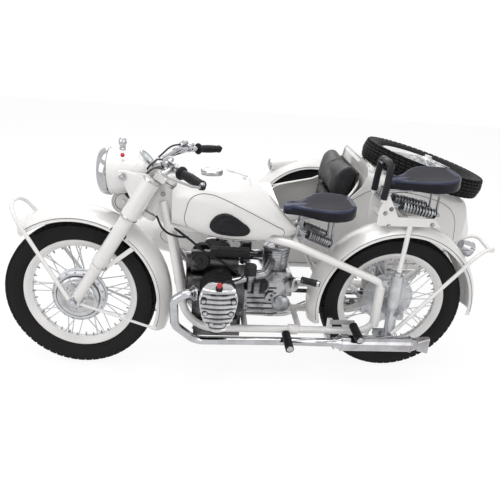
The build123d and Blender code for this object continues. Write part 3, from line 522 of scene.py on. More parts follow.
class PaintSettings(bpy.types.PropertyGroup):
    body: FloatVectorProperty(
        name="Body paint", description="Colour of the enamel", subtype="COLOR", default=(0.82, 0.81, 0.80)
    )
    stripe: FloatVectorProperty(
        name="Stripe", description="Colour of the thin lines", subtype="COLOR", default=(0.05, 0.05, 0.055)
    )
    leather: FloatVectorProperty(
        name="Leather", description="Colour of the sidecar's seat", subtype="COLOR",
        default=(0.014, 0.014, 0.016),
    )
    saddle: FloatVectorProperty(
        name="Saddle panel", description="Colour of the saddles' tops", subtype="COLOR",
        default=(0.013, 0.012, 0.018),
    )
    lens: FloatVectorProperty(
        name="Tail lens", description="Colour of the red glasses", subtype="COLOR", default=(0.35, 0.006, 0.006)
    )


class WheelSettings(bpy.types.PropertyGroup):
    pitches: IntProperty(name="Tread pitches", description="Blocks round a tyre", default=60, min=24, max=120)
    groove: FloatProperty(
        name="Groove depth", description="Depth of the tread", default=0.0068, min=0.001, unit="LENGTH"
    )


class SoftSettings(bpy.types.PropertyGroup):
    pressure: FloatProperty(name="Pressure", description="Push of the stuffing", default=3.6, min=0.0)
    swell: FloatProperty(
        name="Swell", description="Furthest that a point may puff out", default=0.014, min=0.0, unit="LENGTH"
    )
    crown: FloatProperty(
        name="Saddle crown", description="Rise of the saddles' tops", default=0.016, min=0.0, unit="LENGTH"
    )


class StageSettings(bpy.types.PropertyGroup):
    floor: FloatProperty(name="Floor", description="Width of the floor", default=14.0, min=4.0, unit="LENGTH")
    lamps: FloatProperty(name="Lamps", description="Strength of the lamps", default=1.0, min=0.0)
    sky: FloatProperty(name="Sky", description="Strength of the light from all round", default=0.5, min=0.0)


class Maker(bpy.types.Operator):
    bl_options = {"REGISTER", "UNDO"}

    def execute(self, context):
        self.make(context.scene)
        return {"FINISHED"}


WHITE_NODES = (
    "frame_loops", "frame_centre", "fork_sliders", "rear_fender", "rear_rack", "rear_bumper", "fuel_tank",
    "tank_lid", "sidecar_chassis", "sidecar_body_mounts", "sidecar_links", "sidecar_body", "sidecar_fender",
    "boot_lid", "fork_yokes", "fork_covers", "front_fender", "front_bumper", "headlamp", "front_rim",
    "rear_rim", "sidecar_rim", "spare_rim",
)
NODE_FINISHES = {
    "polished_chrome": ("filler_cap", "exhausts", "handlebar", "tail_lamp", "kick_lever"),
    "cast_alloy": ("crankcase", "final_drive"),
    "gear_alloy": ("carburettors", "gearbox", "air_cleaner"),
    "hub_alloy": ("front_hub", "rear_hub", "sidecar_hub", "spare_hub", "front_axle", "rear_plungers"),
    "black_iron_and_shade": ("cylinders",),
    "bare_steel": ("rear_axle", "sidecar_axle", "saddle_frames"),
    "grey_enamel": ("footrests",),
    "seat_board": ("sidecar_seat_base",),
    "white_enamel": WHITE_NODES,
}
METALS = {
    # finish: colour, stain, roughness, its spread, grain scale, grain depth, stain scale
    "polished_chrome": ((0.5, 0.505, 0.53), (0.3, 0.28, 0.28), 0.05, 0.1, 240.0, 0.00005, 9.0),
    "hub_alloy": ((0.6, 0.61, 0.63), (0.45, 0.45, 0.46), 0.45, 0.12, 500.0, 0.0002, 16.0),
    "gear_alloy": ((0.4, 0.4, 0.42), (0.07, 0.065, 0.065), 0.16, 0.3, 520.0, 0.0004, 15.0),
    "polished_alloy": ((0.56, 0.565, 0.58), (0.34, 0.33, 0.33), 0.22, 0.16, 420.0, 0.0002, 16.0),
    "cast_alloy": ((0.11, 0.106, 0.108), (0.02, 0.018, 0.018), 0.26, 0.25, 620.0, 0.0006, 13.0),
    "bare_steel": ((0.34, 0.35, 0.37), (0.15, 0.145, 0.145), 0.26, 0.2, 380.0, 0.0002, 18.0),
}
RUBBERS = {
    # finish: colour, roughness, grain scale, grain depth
    # the black iron colour also fills the heads' nut pockets and the plate's holes as painted shade
    "black_iron_and_shade": ((0.022, 0.021, 0.022), 0.5, 500.0, 0.0006),
    "moulded_rubber": ((0.009, 0.009, 0.012), 0.36, 380.0, 0.0003),
    "red_plastic": ((0.5, 0.03, 0.04), 0.3, 200.0, 0.0001),
    "dial_face": ((0.62, 0.68, 0.68), 0.25, 90.0, 0.0001),
    "seat_board": ((0.05, 0.045, 0.04), 0.6, 120.0, 0.0006),
}


class SIDECAR_OT_finishes(Maker):
    """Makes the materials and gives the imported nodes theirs"""

    bl_idname = "sidecar.finishes"
    bl_label = "Finishes"

    def make(self, scene):
        colours = scene.sidecar_paint
        made = {
            "white_enamel": paint_finish("white_enamel", tuple(colours.body)),
            "grey_enamel": paint_finish("grey_enamel", (0.36, 0.36, 0.37)),
            "stripe_paint": rubber_finish("stripe_paint", tuple(colours.stripe), 0.3, 300.0, 0.0001),
            "tyre_rubber": tyre_finish("tyre_rubber", (0.0065, 0.0065, 0.0075)),
            "saddle_rubber": saddle_finish("saddle_rubber", tuple(colours.saddle), (0.022, 0.027, 0.055)),
            "black_leather": leather_finish("black_leather", tuple(colours.leather)),
            "lamp_glass": glass_finish("lamp_glass", (0.86, 0.9, 0.92), 0.75),
            "red_glass": glass_finish("red_glass", tuple(colours.lens), 0.15, 0.1),
        }
        made.update({name: metal_finish(name, *row) for name, row in METALS.items()})
        made.update({name: rubber_finish(name, *row) for name, row in RUBBERS.items()})
        MATERIALS.update(made)
        for finish, nodes in NODE_FINISHES.items():
            for node in nodes:
                mesh = frame["nodes"][node].data
                mesh.materials.clear()
                mesh.materials.append(made[finish])


WHEELS = {
    # wheel: matrix from the wheel's own millimetres, body
    "front": (IN_FORK @ Matrix.Translation((WHEELBASE, 0, TYRE_R)), "front_wheel"),
    "rear": (IN_ROW @ Matrix.Translation((0, 0, TYRE_R)) @ Matrix.Rotation(math.pi, 4, "Z"), "rear_wheel"),
    "sidecar": (IN_ROW @ Matrix.Translation((LEAD, -TRACK, TYRE_R)), "sidecar_wheel"),
    "spare": (
        IN_ROW @ Matrix.Translation(SPARE) @ Matrix.Rotation(-DECK_TILT, 4, "Y")
        @ Matrix.Rotation(-math.pi / 2, 4, "X"), "boot_lid",
    ),
}
UPRIGHT = Matrix.Rotation(-math.pi / 2, 4, "X")
NIPPLE_R, NIPPLE_SHIFT = 223.2, (6, -6, 3, -3)


class SIDECAR_OT_tyres(Maker):
    """Tyres with block tread and ribbed walls"""

    bl_idname = "sidecar.tyres"
    bl_label = "Tyres"

    def make(self, scene):
        settings = scene.sidecar_wheels
        groove = settings.groove / MM
        for wheel, (place, body) in WHEELS.items():
            half = [
                (242, 20), (256, 24), (262, 31), (266, 35.5), (269, 36.5), (272, 40), (285, 45.5), (296, 48.6),
                (306, 48.4), (315, 46.5), (319, 46), (322, 43), (326 - groove * 0.3, 39), (333 - groove, 24),
                (337 - groove, 8.5),
            ]
            profile = half + [(r, -h) for r, h in reversed(half)]
            bm = lathe(profile, settings.pitches, closed=True)
            pitch = math.tau / settings.pitches
            for vert in bm.verts:
                reach = min(abs(vert.co.z) / 39, 1.0) * pitch * 0.55
                vert.co.xy = Matrix.Rotation(reach, 2) @ vert.co.xy
            bm.normal_update()
            tread = [face for face in bm.faces if face.calc_center_median().xy.length > 320]
            bmesh.ops.inset_individual(bm, faces=tread, thickness=3.4, depth=groove, use_even_offset=True)
            tyre = piece(wheel + "_tread", body, "tyre_rubber", (bm, place @ UPRIGHT), smooth=24)
            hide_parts(wheel + "_tyre")
            bars = bmesh.new()
            for k in range(36):
                cone = lathe([(0, -14), (2.8, -14), (3.6, -3), (5.2, 0.6), (0, 0.6)], 8)
                turn = Matrix.Rotation(math.radians(k * 10 + 3), 4, "Y")
                spot = Matrix.Translation((NIPPLE_R, NIPPLE_SHIFT[k % 4], 0))
                merge(bars, cone, turn @ spot @ Matrix.Rotation(math.pi / 2, 4, "Y"))
            valve = lathe([(0, -30), (3.2, -30), (3.2, -12), (4.6, -10), (4.6, 0), (0, 0)], 10)
            merge(bars, valve, Matrix.Translation((-222, 0, 0)) @ Matrix.Rotation(-math.pi / 2, 4, "Y"))
            piece(wheel + "_nipples", body, "bare_steel", (bars, place))


AHEAD, UP = (1, 0, 0), (0, 0, 1)
BRAKE_PLATE_Y, SPOKE_FLANGE_Y, FORK_NUT_Y = 60.2, 53.4, 130.5


def nut_on(x, y, z, axis, size, height, dome=0.0, place=IN_ROW):
    return nut(size, height, dome), facing(x, y, z, axis, place)


class SIDECAR_OT_hubs(Maker):
    """Brake plates, axle nuts and the caps of the wheels"""

    bl_idname = "sidecar.hubs"
    bl_label = "Hubs"

    def make(self, scene):
        plate = [
            (0, 0), (92, 0), (92, 3), (86, 6), (74, 4), (70, 7), (46, 8), (40, 14), (30, 16), (26, 13), (0, 13),
        ]
        left = (0, 1, 0)
        for wheel, body in (("front", "fork"), ("sidecar", "chassis")):
            place, _ = WHEELS[wheel]
            shapes = [turned(plate, (0, BRAKE_PLATE_Y, 0), left, place, 48)]
            shapes += [nut_on(x, BRAKE_PLATE_Y + 6, z, left, 7, 6, 3, place) for x, z in ring_points(60, 3, 40)]
            lever = rounded(slab([(-8, -9), (62, -6), (62, 6), (-8, 9)], 7), 1.6)
            shapes.append((lever, facing(34, BRAKE_PLATE_Y + 5, 52, left, place, 24)))
            piece(wheel + "_brake_plate", body, "polished_alloy", *shapes)
        head = [(0, 0), (4.4, 0), (4.4, 2.2), (2.6, 4), (0, 4)]
        for wheel, (place, body) in WHEELS.items():
            rim = ring_points(112, 18, 4)
            shapes = [turned(head, (x, SPOKE_FLANGE_Y, z), left, place, 10) for x, z in rim]
            piece(wheel + "_spoke_heads", body, "bare_steel", *shapes)
        shapes = []
        for side in (1, -1):
            out = (0, side, 0)
            shapes.append(nut_on(WHEELBASE, side * FORK_NUT_Y, TYRE_R, out, 15, 11, 5, IN_FORK))
            for z in (-19, 19):
                x = WHEELBASE + (2 if side > 0 else 0)
                shapes.append(nut_on(x, side * (FORK_NUT_Y - 9), TYRE_R + z, out, 6, 6, 2, IN_FORK))
        piece("front_axle_nuts", "fork", "polished_chrome", *shapes)
        shapes = [nut_on(0, side * 151, TYRE_R, (0, side, 0), 16, 10, 4) for side in (1, -1)]
        shapes.append(nut_on(LEAD, -TRACK - 69, TYRE_R, (0, -1, 0), 17, 9, 6))
        piece("rear_axle_nuts", "chassis", "polished_chrome", *shapes)


def wheel_arc(radius, y, start, end, centre, count=28):
    """Points round a wheel, angles rising from straight ahead over the top."""
    turns = [math.radians(start + (end - start) * k / (count - 1)) for k in range(count)]
    return [(centre[0] + radius * math.cos(a), centre[1] + y, centre[2] + radius * math.sin(a)) for a in turns]


FENDERS = {
    # fender: centre, half width, edge radius, start, end, place, body
    "front_fender": ((WHEELBASE, 0, TYRE_R), 84, 354, 50, 200, IN_FORK, "fork"),
    "rear_fender": ((0, 0, TYRE_R), 80, 356, -14, 184, IN_ROW, "chassis"),
    "sidecar_fender": ((LEAD, -TRACK, TYRE_R), 92, 348, 8, 180, IN_ROW, "chassis"),
}


class SIDECAR_OT_fenders(Maker):
    """Rolled beads and thin lines of the three fenders"""

    bl_idname = "sidecar.fenders"
    bl_label = "Fenders"

    def make(self, scene):
        for name, (centre, half, edge, start, end, place, body) in FENDERS.items():
            beads = []
            for side in (1, -1):
                arc = wheel_arc(edge + 2.5, side * (half - 1.5), start, end, centre, 60)
                beads.append((tube([Vector(p) for p in arc], 4.0, 12), place))
            piece(name + "_beads", body, "white_enamel", *beads)
            target = surface(name)
            stripes = []
            for side in (1, -1):
                arc = wheel_arc(edge + 13, side * (half + 40), start + 3, end - 3, centre, 70)
                points = [place @ Vector(p) for p in arc]
                across = (place.to_3x3() @ Vector((0, -side, 0))).normalized()
                for run in cast_runs(target, points, across, 0.02):
                    stripes.append((tube(run, 0.0012, 6), None))
            piece(name + "_stripes", body, "stripe_paint", *stripes)
        for name, (half, place, body) in BUMPERS.items():
            bar = piece(
                name + "_loop", body, "white_enamel", cable(mirrored(half), 9.0, place, 14, 6), smooth=70
            )
            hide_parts(name)


BUMPERS = {
    # node: left half of its path from foot to middle, place, body
    "front_bumper": (
        [(1448, 131, 358), (1532, 118, 486), (1612, 105, 607), (1664, 94, 686), (1690, 70, 727),
         (1702, 36, 744), (1704, 0, 748)], IN_FORK, "fork",
    ),
    "rear_bumper": (
        [(18, 144, 242), (-116, 126, 391), (-250, 108, 539), (-350, 92, 640), (-400, 74, 652), (-428, 40, 630),
         (-436, 0, 618)], IN_ROW, "chassis",
    ),
}
TANK_STRIPE = [
    (972, 788), (955, 838), (923, 861), (876, 866), (830, 855), (745, 818), (660, 772), (595, 732), (552, 699),
    (556, 678), (583, 665), (660, 664), (744, 670), (850, 678), (945, 689), (970, 720), (978, 755),
]
PAD_OUTLINE = [
    (874, 740), (862, 768), (838, 789), (806, 795), (770, 780), (738, 757), (712, 735), (706, 716), (720, 701),
    (752, 696), (800, 698), (846, 706), (868, 720),
]


class SIDECAR_OT_tank(Maker):
    """Tank stripes, knee pads, the tool lid's lock and the filler cap's rim"""

    bl_idname = "sidecar.tank"
    bl_label = "Tank"

    def make(self, scene):
        target = surface("fuel_tank", "tank_lid")
        stripes = []
        for side in (1, -1):
            loop = line([at(x, side * 200, z) for x, z in TANK_STRIPE], cyclic=True, steps=8)
            stripes.append((tube(cast(target, loop, (0, -side, 0), 0.2), 0.0013, 6, cyclic=True), None))
        piece("tank_stripes", "chassis", "stripe_paint", *stripes)
        self.pads(target)
        spot = cast(target, [at(735, 0, 1100)], (0, 0, -1), 0.1)[0]
        lock = lathe([(0, -1), (9, -1), (9, 2.2), (7.5, 3.2), (0, 3.2)], 20)
        slope = Matrix.Translation(spot) @ Matrix.Scale(MM, 4) @ Matrix.Rotation(-0.25, 4, "Y")
        piece("tank_lid_lock", "tank_lid", "polished_chrome", (lock, slope))
        cap = [
            (30, 13.5), (34, 16), (41, 16), (46, 12), (47.5, 6), (46.5, 1), (45.4, 1), (45.4, 9), (38.4, 13.6),
        ]
        rim = turned(cap, (871, 0, 922), UP, IN_ROW, 48, True)
        piece("filler_cap_rim", "chassis", "polished_chrome", rim)

    def pads(self, target):
        rows = [
            # share of the outline, height above the tank
            (0.02, -2.0), (0.5, -2.0), (0.98, -2.0), (1.0, 0.0), (1.0, 3.0), (0.965, 7.5), (0.9, 10.0),
            (0.84, 10.0), (0.8, 7.2), (0.62, 7.0), (0.57, 9.4), (0.5, 9.4), (0.45, 7.2), (0.25, 7.4),
            (0.02, 7.6),
        ]
        middle = Vector((790, 0, 738))
        loop = line([Vector((x, 0, z)) for x, z in PAD_OUTLINE], cyclic=True, steps=5)
        shapes = []
        for side in (1, -1):
            rings = []
            for share, height in rows:
                points = [IN_ROW @ (middle + (p - middle) * share + Vector((0, side * 260, 0))) for p in loop]
                rings.append(cast(target, points, (0, -side, 0), 0.1, height * MM))
            shapes.append((skin(rings), None))
        pads = piece("knee_rubbers", "chassis", "moulded_rubber", *shapes)
        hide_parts("knee_pads")


HEAD_OUTLINE = [
    (757, 500), (778, 524), (806, 530), (846, 530), (874, 524), (895, 500), (907, 462), (904, 420), (893, 372),
    (876, 330), (852, 308), (826, 303), (800, 308), (776, 330), (759, 372), (748, 420), (745, 462),
]
HEAD_NUTS = [(764, 452), (888, 452), (772, 396), (880, 396), (800, 345), (852, 345)]
HEAD_X = 826


def head_half_width(z):
    """Half width of the cylinder head at a height."""
    rear_edge = [(z, x - HEAD_X) for x, z in reversed(HEAD_OUTLINE[3:12])]
    return between(rear_edge, z)


class SIDECAR_OT_engine(Maker):
    """Ribbed cylinder heads with their nuts and plugs, and the castings' covers and screws"""

    bl_idname = "sidecar.engine"
    bl_label = "Engine"

    def make(self, scene):
        self.heads()
        self.castings()

    def heads(self):
        recess = [(0, 0), (13, 0), (13, 27.5), (11, 28.5), (0, 28.5)]
        heart = [(0, -9), (9, 2), (9, 7), (5, 9), (0, 6), (-5, 9), (-9, 7), (-9, 2)]
        plug = [(0, 0), (15, 0), (15, 10), (11, 14), (11, 22), (0, 22)]
        cap = [(0, 0), (8.5, 0), (9, 8), (11, 12), (11, 22), (7, 26), (0, 26)]
        ribs, nuts, recess_shades, plugs, caps = [], [], [], [], []
        for side in (1, -1):
            out = (0, side, 0)
            base = rounded(slab([(x - HEAD_X, z - 415) for x, z in HEAD_OUTLINE], 17), 3.0, 3)
            flat = IN_ROW @ Matrix.Translation((HEAD_X, side * 236, 415)) @ STANDING
            ribs.append((base, flat @ Matrix.Scale(-side, 4, (0, 0, 1))))
            for k in range(9):
                z = 318 + 22.5 * k
                reach = head_half_width(z) - 3
                path = []
                for t in [-1 + 2 * j / 9 for j in range(10)]:
                    bow = 1 - t * t
                    path.append(Vector((HEAD_X + reach * t, side * (253 + 8 * bow), z - 5 * bow)))
                ribs.append((tube(path, 8.6, 12), IN_ROW))
            # solid black plugs fill the nut pockets and two heart-shaped gaps by the plug: painted shade for
            # the head's hollows
            for x, z in HEAD_NUTS:
                recess_shades.append(turned(recess, (x, side * 238, z), out, steps=18))
                nuts.append(nut_on(x, side * 266, z, out, 7.5, 5, 4))
            for x in (803, 849):
                recess_shades.append(standing(slab(heart, 27), x, side * 251.5, 480, 27))
            plugs.append(turned(plug, (HEAD_X, side * 250, 506), (0, side * 0.8, 0.6), steps=16))
            caps.append(turned(cap, (HEAD_X, side * 262, 515), (0, side * 0.5, 0.86), steps=16))
        heads = piece("ribbed_heads", "chassis", "polished_alloy", *ribs)
        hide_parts("cylinder_heads")
        piece("head_nuts", "chassis", "polished_chrome", *nuts)
        piece("head_recess_shade", "chassis", "black_iron_and_shade", *recess_shades)
        piece("plug_bodies", "chassis", "moulded_rubber", *plugs)
        piece("plug_caps", "chassis", "red_plastic", *caps)

    def castings(self):
        timing = [(-60, -70), (60, -70), (76, -20), (70, 60), (38, 84), (-38, 84), (-70, 60), (-76, -20)]
        disc = [(0, 0), (40, 0), (40, 6), (34, 10), (12, 12), (0, 12)]
        can = [(0, 0), (25, 0), (27, 6), (27, 44), (24, 50), (0, 50)]
        can_band = [(24.3, -4), (28, -4), (28, 4), (24.3, 4)]
        dynamo_end = [(0, -20), (40, -20), (42, 0), (38, 5), (34, 5), (33, 2), (12, 2), (10, 8), (0, 8)]
        dome = [(0, 0), (27, 0), (29, 5), (29, 40), (22, 56), (0, 60)]
        dome_band = [(27, -3), (32, -3), (32, 5), (27, 5)]
        hole = [(0, 0), (6, 0), (6, 1.2), (0, 1.2)]
        gear_bulge = [(0, 0), (42, 0), (42, 5), (30, 17), (14, 22), (0, 23)]
        terminal = [(0, 0), (7, 0), (7, 16), (5, 22), (0, 22)]
        cover = [
            (slab(timing, 9, 4, 3), facing(956.5, 0, 395, AHEAD)),
            turned(disc, (956, 0, 512), AHEAD),
        ]
        black, bright = [], []
        for side, rib_y, box_y in ((1, 82.2, 8), (-1, -85.4, -16)):
            out, dome_axis = (0, side, 0), (0.3, side, 0.25)
            for k in range(6):
                rib = rounded(box((560, 690), (0, 3.2), 7), 1.2)
                cover.append((rib, IN_ROW @ Matrix.Translation((0, rib_y, 296 + 26 * k))))
            for x, z in [(530, 330), (530, 470), (612, 486), (690, 470), (690, 330), (612, 312)]:
                bright.append(nut_on(x, side * 82, z, out, 6.5, 5, 2))
            black.append(turned(can, (690, side * 132, 512), UP, steps=28))
            bright.append(turned(can_band, (690, side * 132, 516), UP, steps=28, closed=True))
            bright.append(nut_on(664, side * 150, 440, (0, 0, -1), 9, 8, 3))
            black.append(turned(dynamo_end, (905, side * 58, 540), (0.45, side, 0.1)))
            black.append(turned(dome, (628, side * 84, 446), dome_axis, steps=26))
            bright.append(turned(dome_band, (628, side * 84, 446), dome_axis, steps=28, closed=True))
            plate = slab([(-20, -26), (16, -26), (24, 0), (10, 26), (-14, 26)], 7, 2)
            bright.append(standing(plate, 587, side * 92, 387, 7))
            # two thin black discs on the plate are painted shade for its holes
            for x, z in ((583, 398), (589, 376)):
                black.append(turned(hole, (x, side * 95.4, z), out, steps=16))
            bright.append(turned(gear_bulge, (535, side * 82, 352), out))
            block = rounded(box((690, 862), (40, 66), 34), 5)
            black.append((block, IN_ROW @ Matrix.Translation((0, box_y, 566))))
            for k in range(4):
                black.append(turned(terminal, (720 + 36 * k, side * 54, 596), (0, side, 0.4), steps=14))
            for k in range(5):
                bright.append(nut_on(716 + 44 * k, side * 78.4, 300 + 34 * (k % 2), out, 6, 5, 2))
        band = [(54.2, -2), (57, -2), (57, 2), (54.2, 2)]
        cover += [turned(band, (760 + 20 * k, 0, 512), AHEAD, steps=36, closed=True) for k in range(9)]
        bright += [nut_on(925.5, y, z, AHEAD, 6, 4, 2) for y in (-58, -20, 20, 58) for z in (200, 250)]
        cleaner = [(0, -2), (60, -2), (62, 1), (62, 7), (58, 11), (44, 12), (40, 8), (10, 8), (8, 14), (0, 14)]
        bright.append(turned(cleaner, (565, 0, 590), UP, steps=40))
        for k in range(4):
            rib = [(58, -2), (61 - k, -2), (61 - k, 2), (58, 2)]
            bright.append(turned(rib, (565, 0, 578 - 14 * k), UP, steps=40, closed=True))
        piece("engine_covers", "chassis", "cast_alloy", *cover)
        piece("engine_black_parts_and_hole_shade", "chassis", "black_iron_and_shade", *black)
        piece("engine_screws", "chassis", "bare_steel", *bright)
        waves = [(r, h + 10 * k) for k in range(6) for r, h in ((16, 3), (14.5, 8))]
        sleeve = [(0, 0), (14, 0), *waves, (16, 66), (14, 72), (0, 73)]
        rubber = turned(sleeve, (468, 148, 507), (-73, 38, 0), steps=20)
        piece("kick_lever_rubber", "chassis", "moulded_rubber", rubber)


SEATS = [
    IN_ROW @ Matrix.Translation((x, 0, z)) @ Matrix.Rotation(math.radians(tilt), 4, "Y")
    for x, z, tilt in ((246, 772, 2), (-190, 926, 6))
]
SADDLE_HALF = [
    # distance from the saddle's back, half width there
    (0, 70), (20, 103), (45, 123), (80, 136), (115, 138), (150, 124), (180, 98), (210, 68), (245, 45),
    (280, 34), (300, 28),
]
SADDLE_RINGS = [
    # share of the outline, height: the underside, the skirt, the rolled edge and the dished top
    (0.55, 3), (0.9, 2), (0.965, 1.0), (0.985, 6), (0.99, 20), (1.0, 30), (0.985, 38), (0.95, 43),
    (0.9, 44.5), (0.86, 43.0), (0.82, 43.6), (0.6, 43.5), (0.4, 42.0), (0.2, 41.0), (0.03, 40.6),
]
SKIRT_TOP = 25


def thinned(x):
    """Share of the saddle's height that is left towards its nose."""
    return 1 - 0.34 * max(0.0, (x - 150) / 150)


class SIDECAR_OT_saddles(Maker):
    """Two moulded saddles and their coil springs"""

    bl_idname = "sidecar.saddles"
    bl_label = "Saddles"

    def make(self, scene):
        crown = scene.sidecar_soft.crown / MM
        shapes = [(self.saddle(crown), place) for place in SEATS]
        saddles = piece("rubber_saddles", "chassis", "saddle_rubber", *shapes, smooth=60)
        self.panel(saddles)
        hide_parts("saddles")
        coils, cups = [], []
        cup = [(0, -3), (18, -3), (20, 0), (18, 3), (0, 3)]
        for front, rear in (((474, 694), (330, 640)), ((96, 842), (-120, 798))):
            for y in (58, -58):
                start, end = Vector((front[0], y, front[1])), Vector((rear[0], y, rear[1]))
                run = end - start
                coil = helix(start + run * 0.24, start + run * 0.9, 20.5, 10.5, 12)
                coils.append((tube(coil, 3.0, 8), IN_ROW))
                cups += [turned(cup, start + run * share, run, steps=18) for share in (0.2, 0.93)]
        piece("saddle_coils", "chassis", "bare_steel", *coils, smooth=60)
        piece("saddle_coil_seats", "chassis", "moulded_rubber", *cups)

    def saddle(self, crown):
        """Closed shell from rings that share one outline."""
        stations = [0, 6, 18, 40, 70, 105, 140, 170, 200, 230, 262, 288, 300]
        half = [(x, between(SADDLE_HALF, x)) for x in stations] + [(304, 16), (306, 0)]
        outline = half + [(x, -w) for x, w in reversed(half[:-1])]
        smooth = line([Vector((x, w, 0)) for x, w in outline], cyclic=True, steps=3)
        return skin([[self.drawn(p, share, height, crown) for p in smooth] for share, height in SADDLE_RINGS])

    def drawn(self, point, share, height, crown):
        """A point of the outline, drawn in to a share of it and lifted."""
        spine = Vector((min(max(point.x, 60), 285), 0, 0))
        if share > 0.5:
            place = spine + (point - spine) * share
        else:
            middle = Vector((118, 0, 0))
            place = middle + (spine + (point - spine) * 0.6 - middle) * (share / 0.6)
        x, y, _ = place
        lift = height * thinned(x)
        if height > SKIRT_TOP:
            lift += crown * ((y / 138) ** 2 * 0.5 + max(0.0, (60 - x) / 60) ** 2 * 0.6)
            lift += 6 * max(0.0, (x - 200) / 100)
            lift += 13 * max(0.0, 1 - abs(x - 262) / 42) * max(0.0, 1 - (y / 40) ** 2)
        return x, y, lift

    def panel(self, saddles):
        """Marks the grained panel with 1, the border with a half and the skirt with 0."""
        border = 15
        mesh = saddles.data
        marks = mesh.attributes.new("panel", "FLOAT", "POINT")
        backs = [place.inverted() for place in SEATS]
        for vert in mesh.vertices:
            best = 0.0
            for back in backs:
                x, y, z = back @ vert.co
                if -10 < x < 320 and 20 < z < 90:
                    wide = max(1.0, between(SADDLE_HALF, x) - border)
                    if 12 < x < 226 and abs(y) < wide:
                        best = 1.0
                    elif z > 40 * thinned(x):
                        best = 0.5
            marks.data[vert.index].value = best


def simulated(mesh, name, voxel, pressure, swell):
    """A stuffed piece: the shape is remeshed, puffed by a cloth simulation and smoothed."""
    obj = bpy.data.objects.new(name, mesh)
    bpy.context.scene.collection.objects.link(obj)
    bpy.context.view_layer.objects.active = obj
    remesh = obj.modifiers.new("remesh", "REMESH")
    remesh.mode = "VOXEL"
    remesh.voxel_size = voxel
    bpy.context.view_layer.update()
    solid = bpy.data.meshes.new_from_object(obj.evaluated_get(bpy.context.evaluated_depsgraph_get()))
    obj.modifiers.clear()
    obj.data = solid
    rest = [vert.co.copy() for vert in solid.vertices]
    cloth = obj.modifiers.new("cloth", "CLOTH")
    cloth.settings.quality = 6
    cloth.settings.mass = 0.3
    cloth.settings.tension_stiffness = 18
    cloth.settings.compression_stiffness = 10
    cloth.settings.shear_stiffness = 8
    cloth.settings.bending_stiffness = 0.6
    cloth.settings.use_pressure = True
    cloth.settings.uniform_pressure_force = pressure
    cloth.settings.effector_weights.gravity = 0
    cloth.collision_settings.use_collision = False
    scene = bpy.context.scene
    for step in range(1, 19):
        scene.frame_set(step)
    puffed = bpy.data.meshes.new_from_object(obj.evaluated_get(bpy.context.evaluated_depsgraph_get()))
    obj.modifiers.clear()
    scene.frame_set(1)
    for vert, was in zip(solid.vertices, rest):
        move = puffed.vertices[vert.index].co - was
        vert.co = was + move * min(1.0, swell / max(move.length, 1e-9))
    bpy.data.meshes.remove(puffed)
    bm = bmesh.new()
    bm.from_mesh(solid)
    bmesh.ops.smooth_vert(bm, verts=bm.verts, factor=0.5, use_axis_x=True, use_axis_y=True, use_axis_z=True)
    bpy.data.objects.remove(obj)
    return bm


class SIDECAR_OT_cushions(Maker):
    """Leather seat and back of the sidecar"""

    bl_idname = "sidecar.cushions"
    bl_label = "Sidecar cushions"

    def make(self, scene):
        soft = scene.sidecar_soft
        seat = slab([(170, -835), (465, -835), (465, -445), (170, -445)], 84, 14, 4)
        seat.transform(Matrix.Translation((0, 0, 393)))
        lower = slab([(155, 494), (238, 494), (222, 676), (142, 676)], 384, 12, 4)
        upper = slab(
            [(132, 690), (226, 684), (222, 760), (204, 838), (176, 866), (146, 868), (116, 842)], 420, 24, 5
        )
        shapes = {
            "sidecar_seat_cushion": (seat, IN_ROW),
            "sidecar_lower_back": standing(lower, 0, -SIDECAR_MID, 0, 384),
            "sidecar_upper_back": standing(upper, 0, -SIDECAR_MID, 0, 420),
        }
        for name, (bm, matrix) in shapes.items():
            bmesh.ops.subdivide_edges(bm, edges=bm.edges[:], cuts=1, use_grid_fill=True)
            bm.transform(matrix)
            mesh = bpy.data.meshes.new(name + "_start")
            bm.to_mesh(mesh)
            bm.free()
            puffed = simulated(mesh, name + "_start", 0.006, soft.pressure, soft.swell)
            self.crease(puffed, name)
            cushion = piece(name, "chassis", "black_leather", (puffed, None), smooth=80)
            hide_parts("sidecar_cushions")
        welt = [at(222, -SIDECAR_MID + 190 * (-1 + k / 8), 683) for k in range(17)]
        piece("sidecar_back_welt", "chassis", "black_leather", (tube(welt, 0.004, 8), None))

    def crease(self, bm, name):
        """Pulls the seat in along its sewn channels, and wrinkles the back."""
        for vert in bm.verts:
            _, y, z = (vert.co - ORIGIN) / MM
            across = y + SIDECAR_MID
            if name == "sidecar_seat_cushion":
                if z > 440:
                    fold = sum(math.exp(-((across - channel) / 6) ** 2) for channel in (-100, 0, 100))
                    vert.co.z -= fold * 6 * MM
            elif vert.normal.x > 0.2:
                low = max(0.0, (770 - z) / 90) if name == "sidecar_upper_back" else 1.0
                ripple = 2.2 * math.sin(across / 13 + 0.9 * math.sin(z / 31)) * min(low, 1.0)
                sag = 1.5 * math.sin(across / 41 + z / 37)
                vert.co -= vert.normal * (ripple + sag) * MM


RIM_LINE = [
    # place along the sidecar, height of the cockpit's edge
    (72, 872), (78, 835), (98, 782), (160, 712), (242, 672), (403, 636), (506, 612),
]


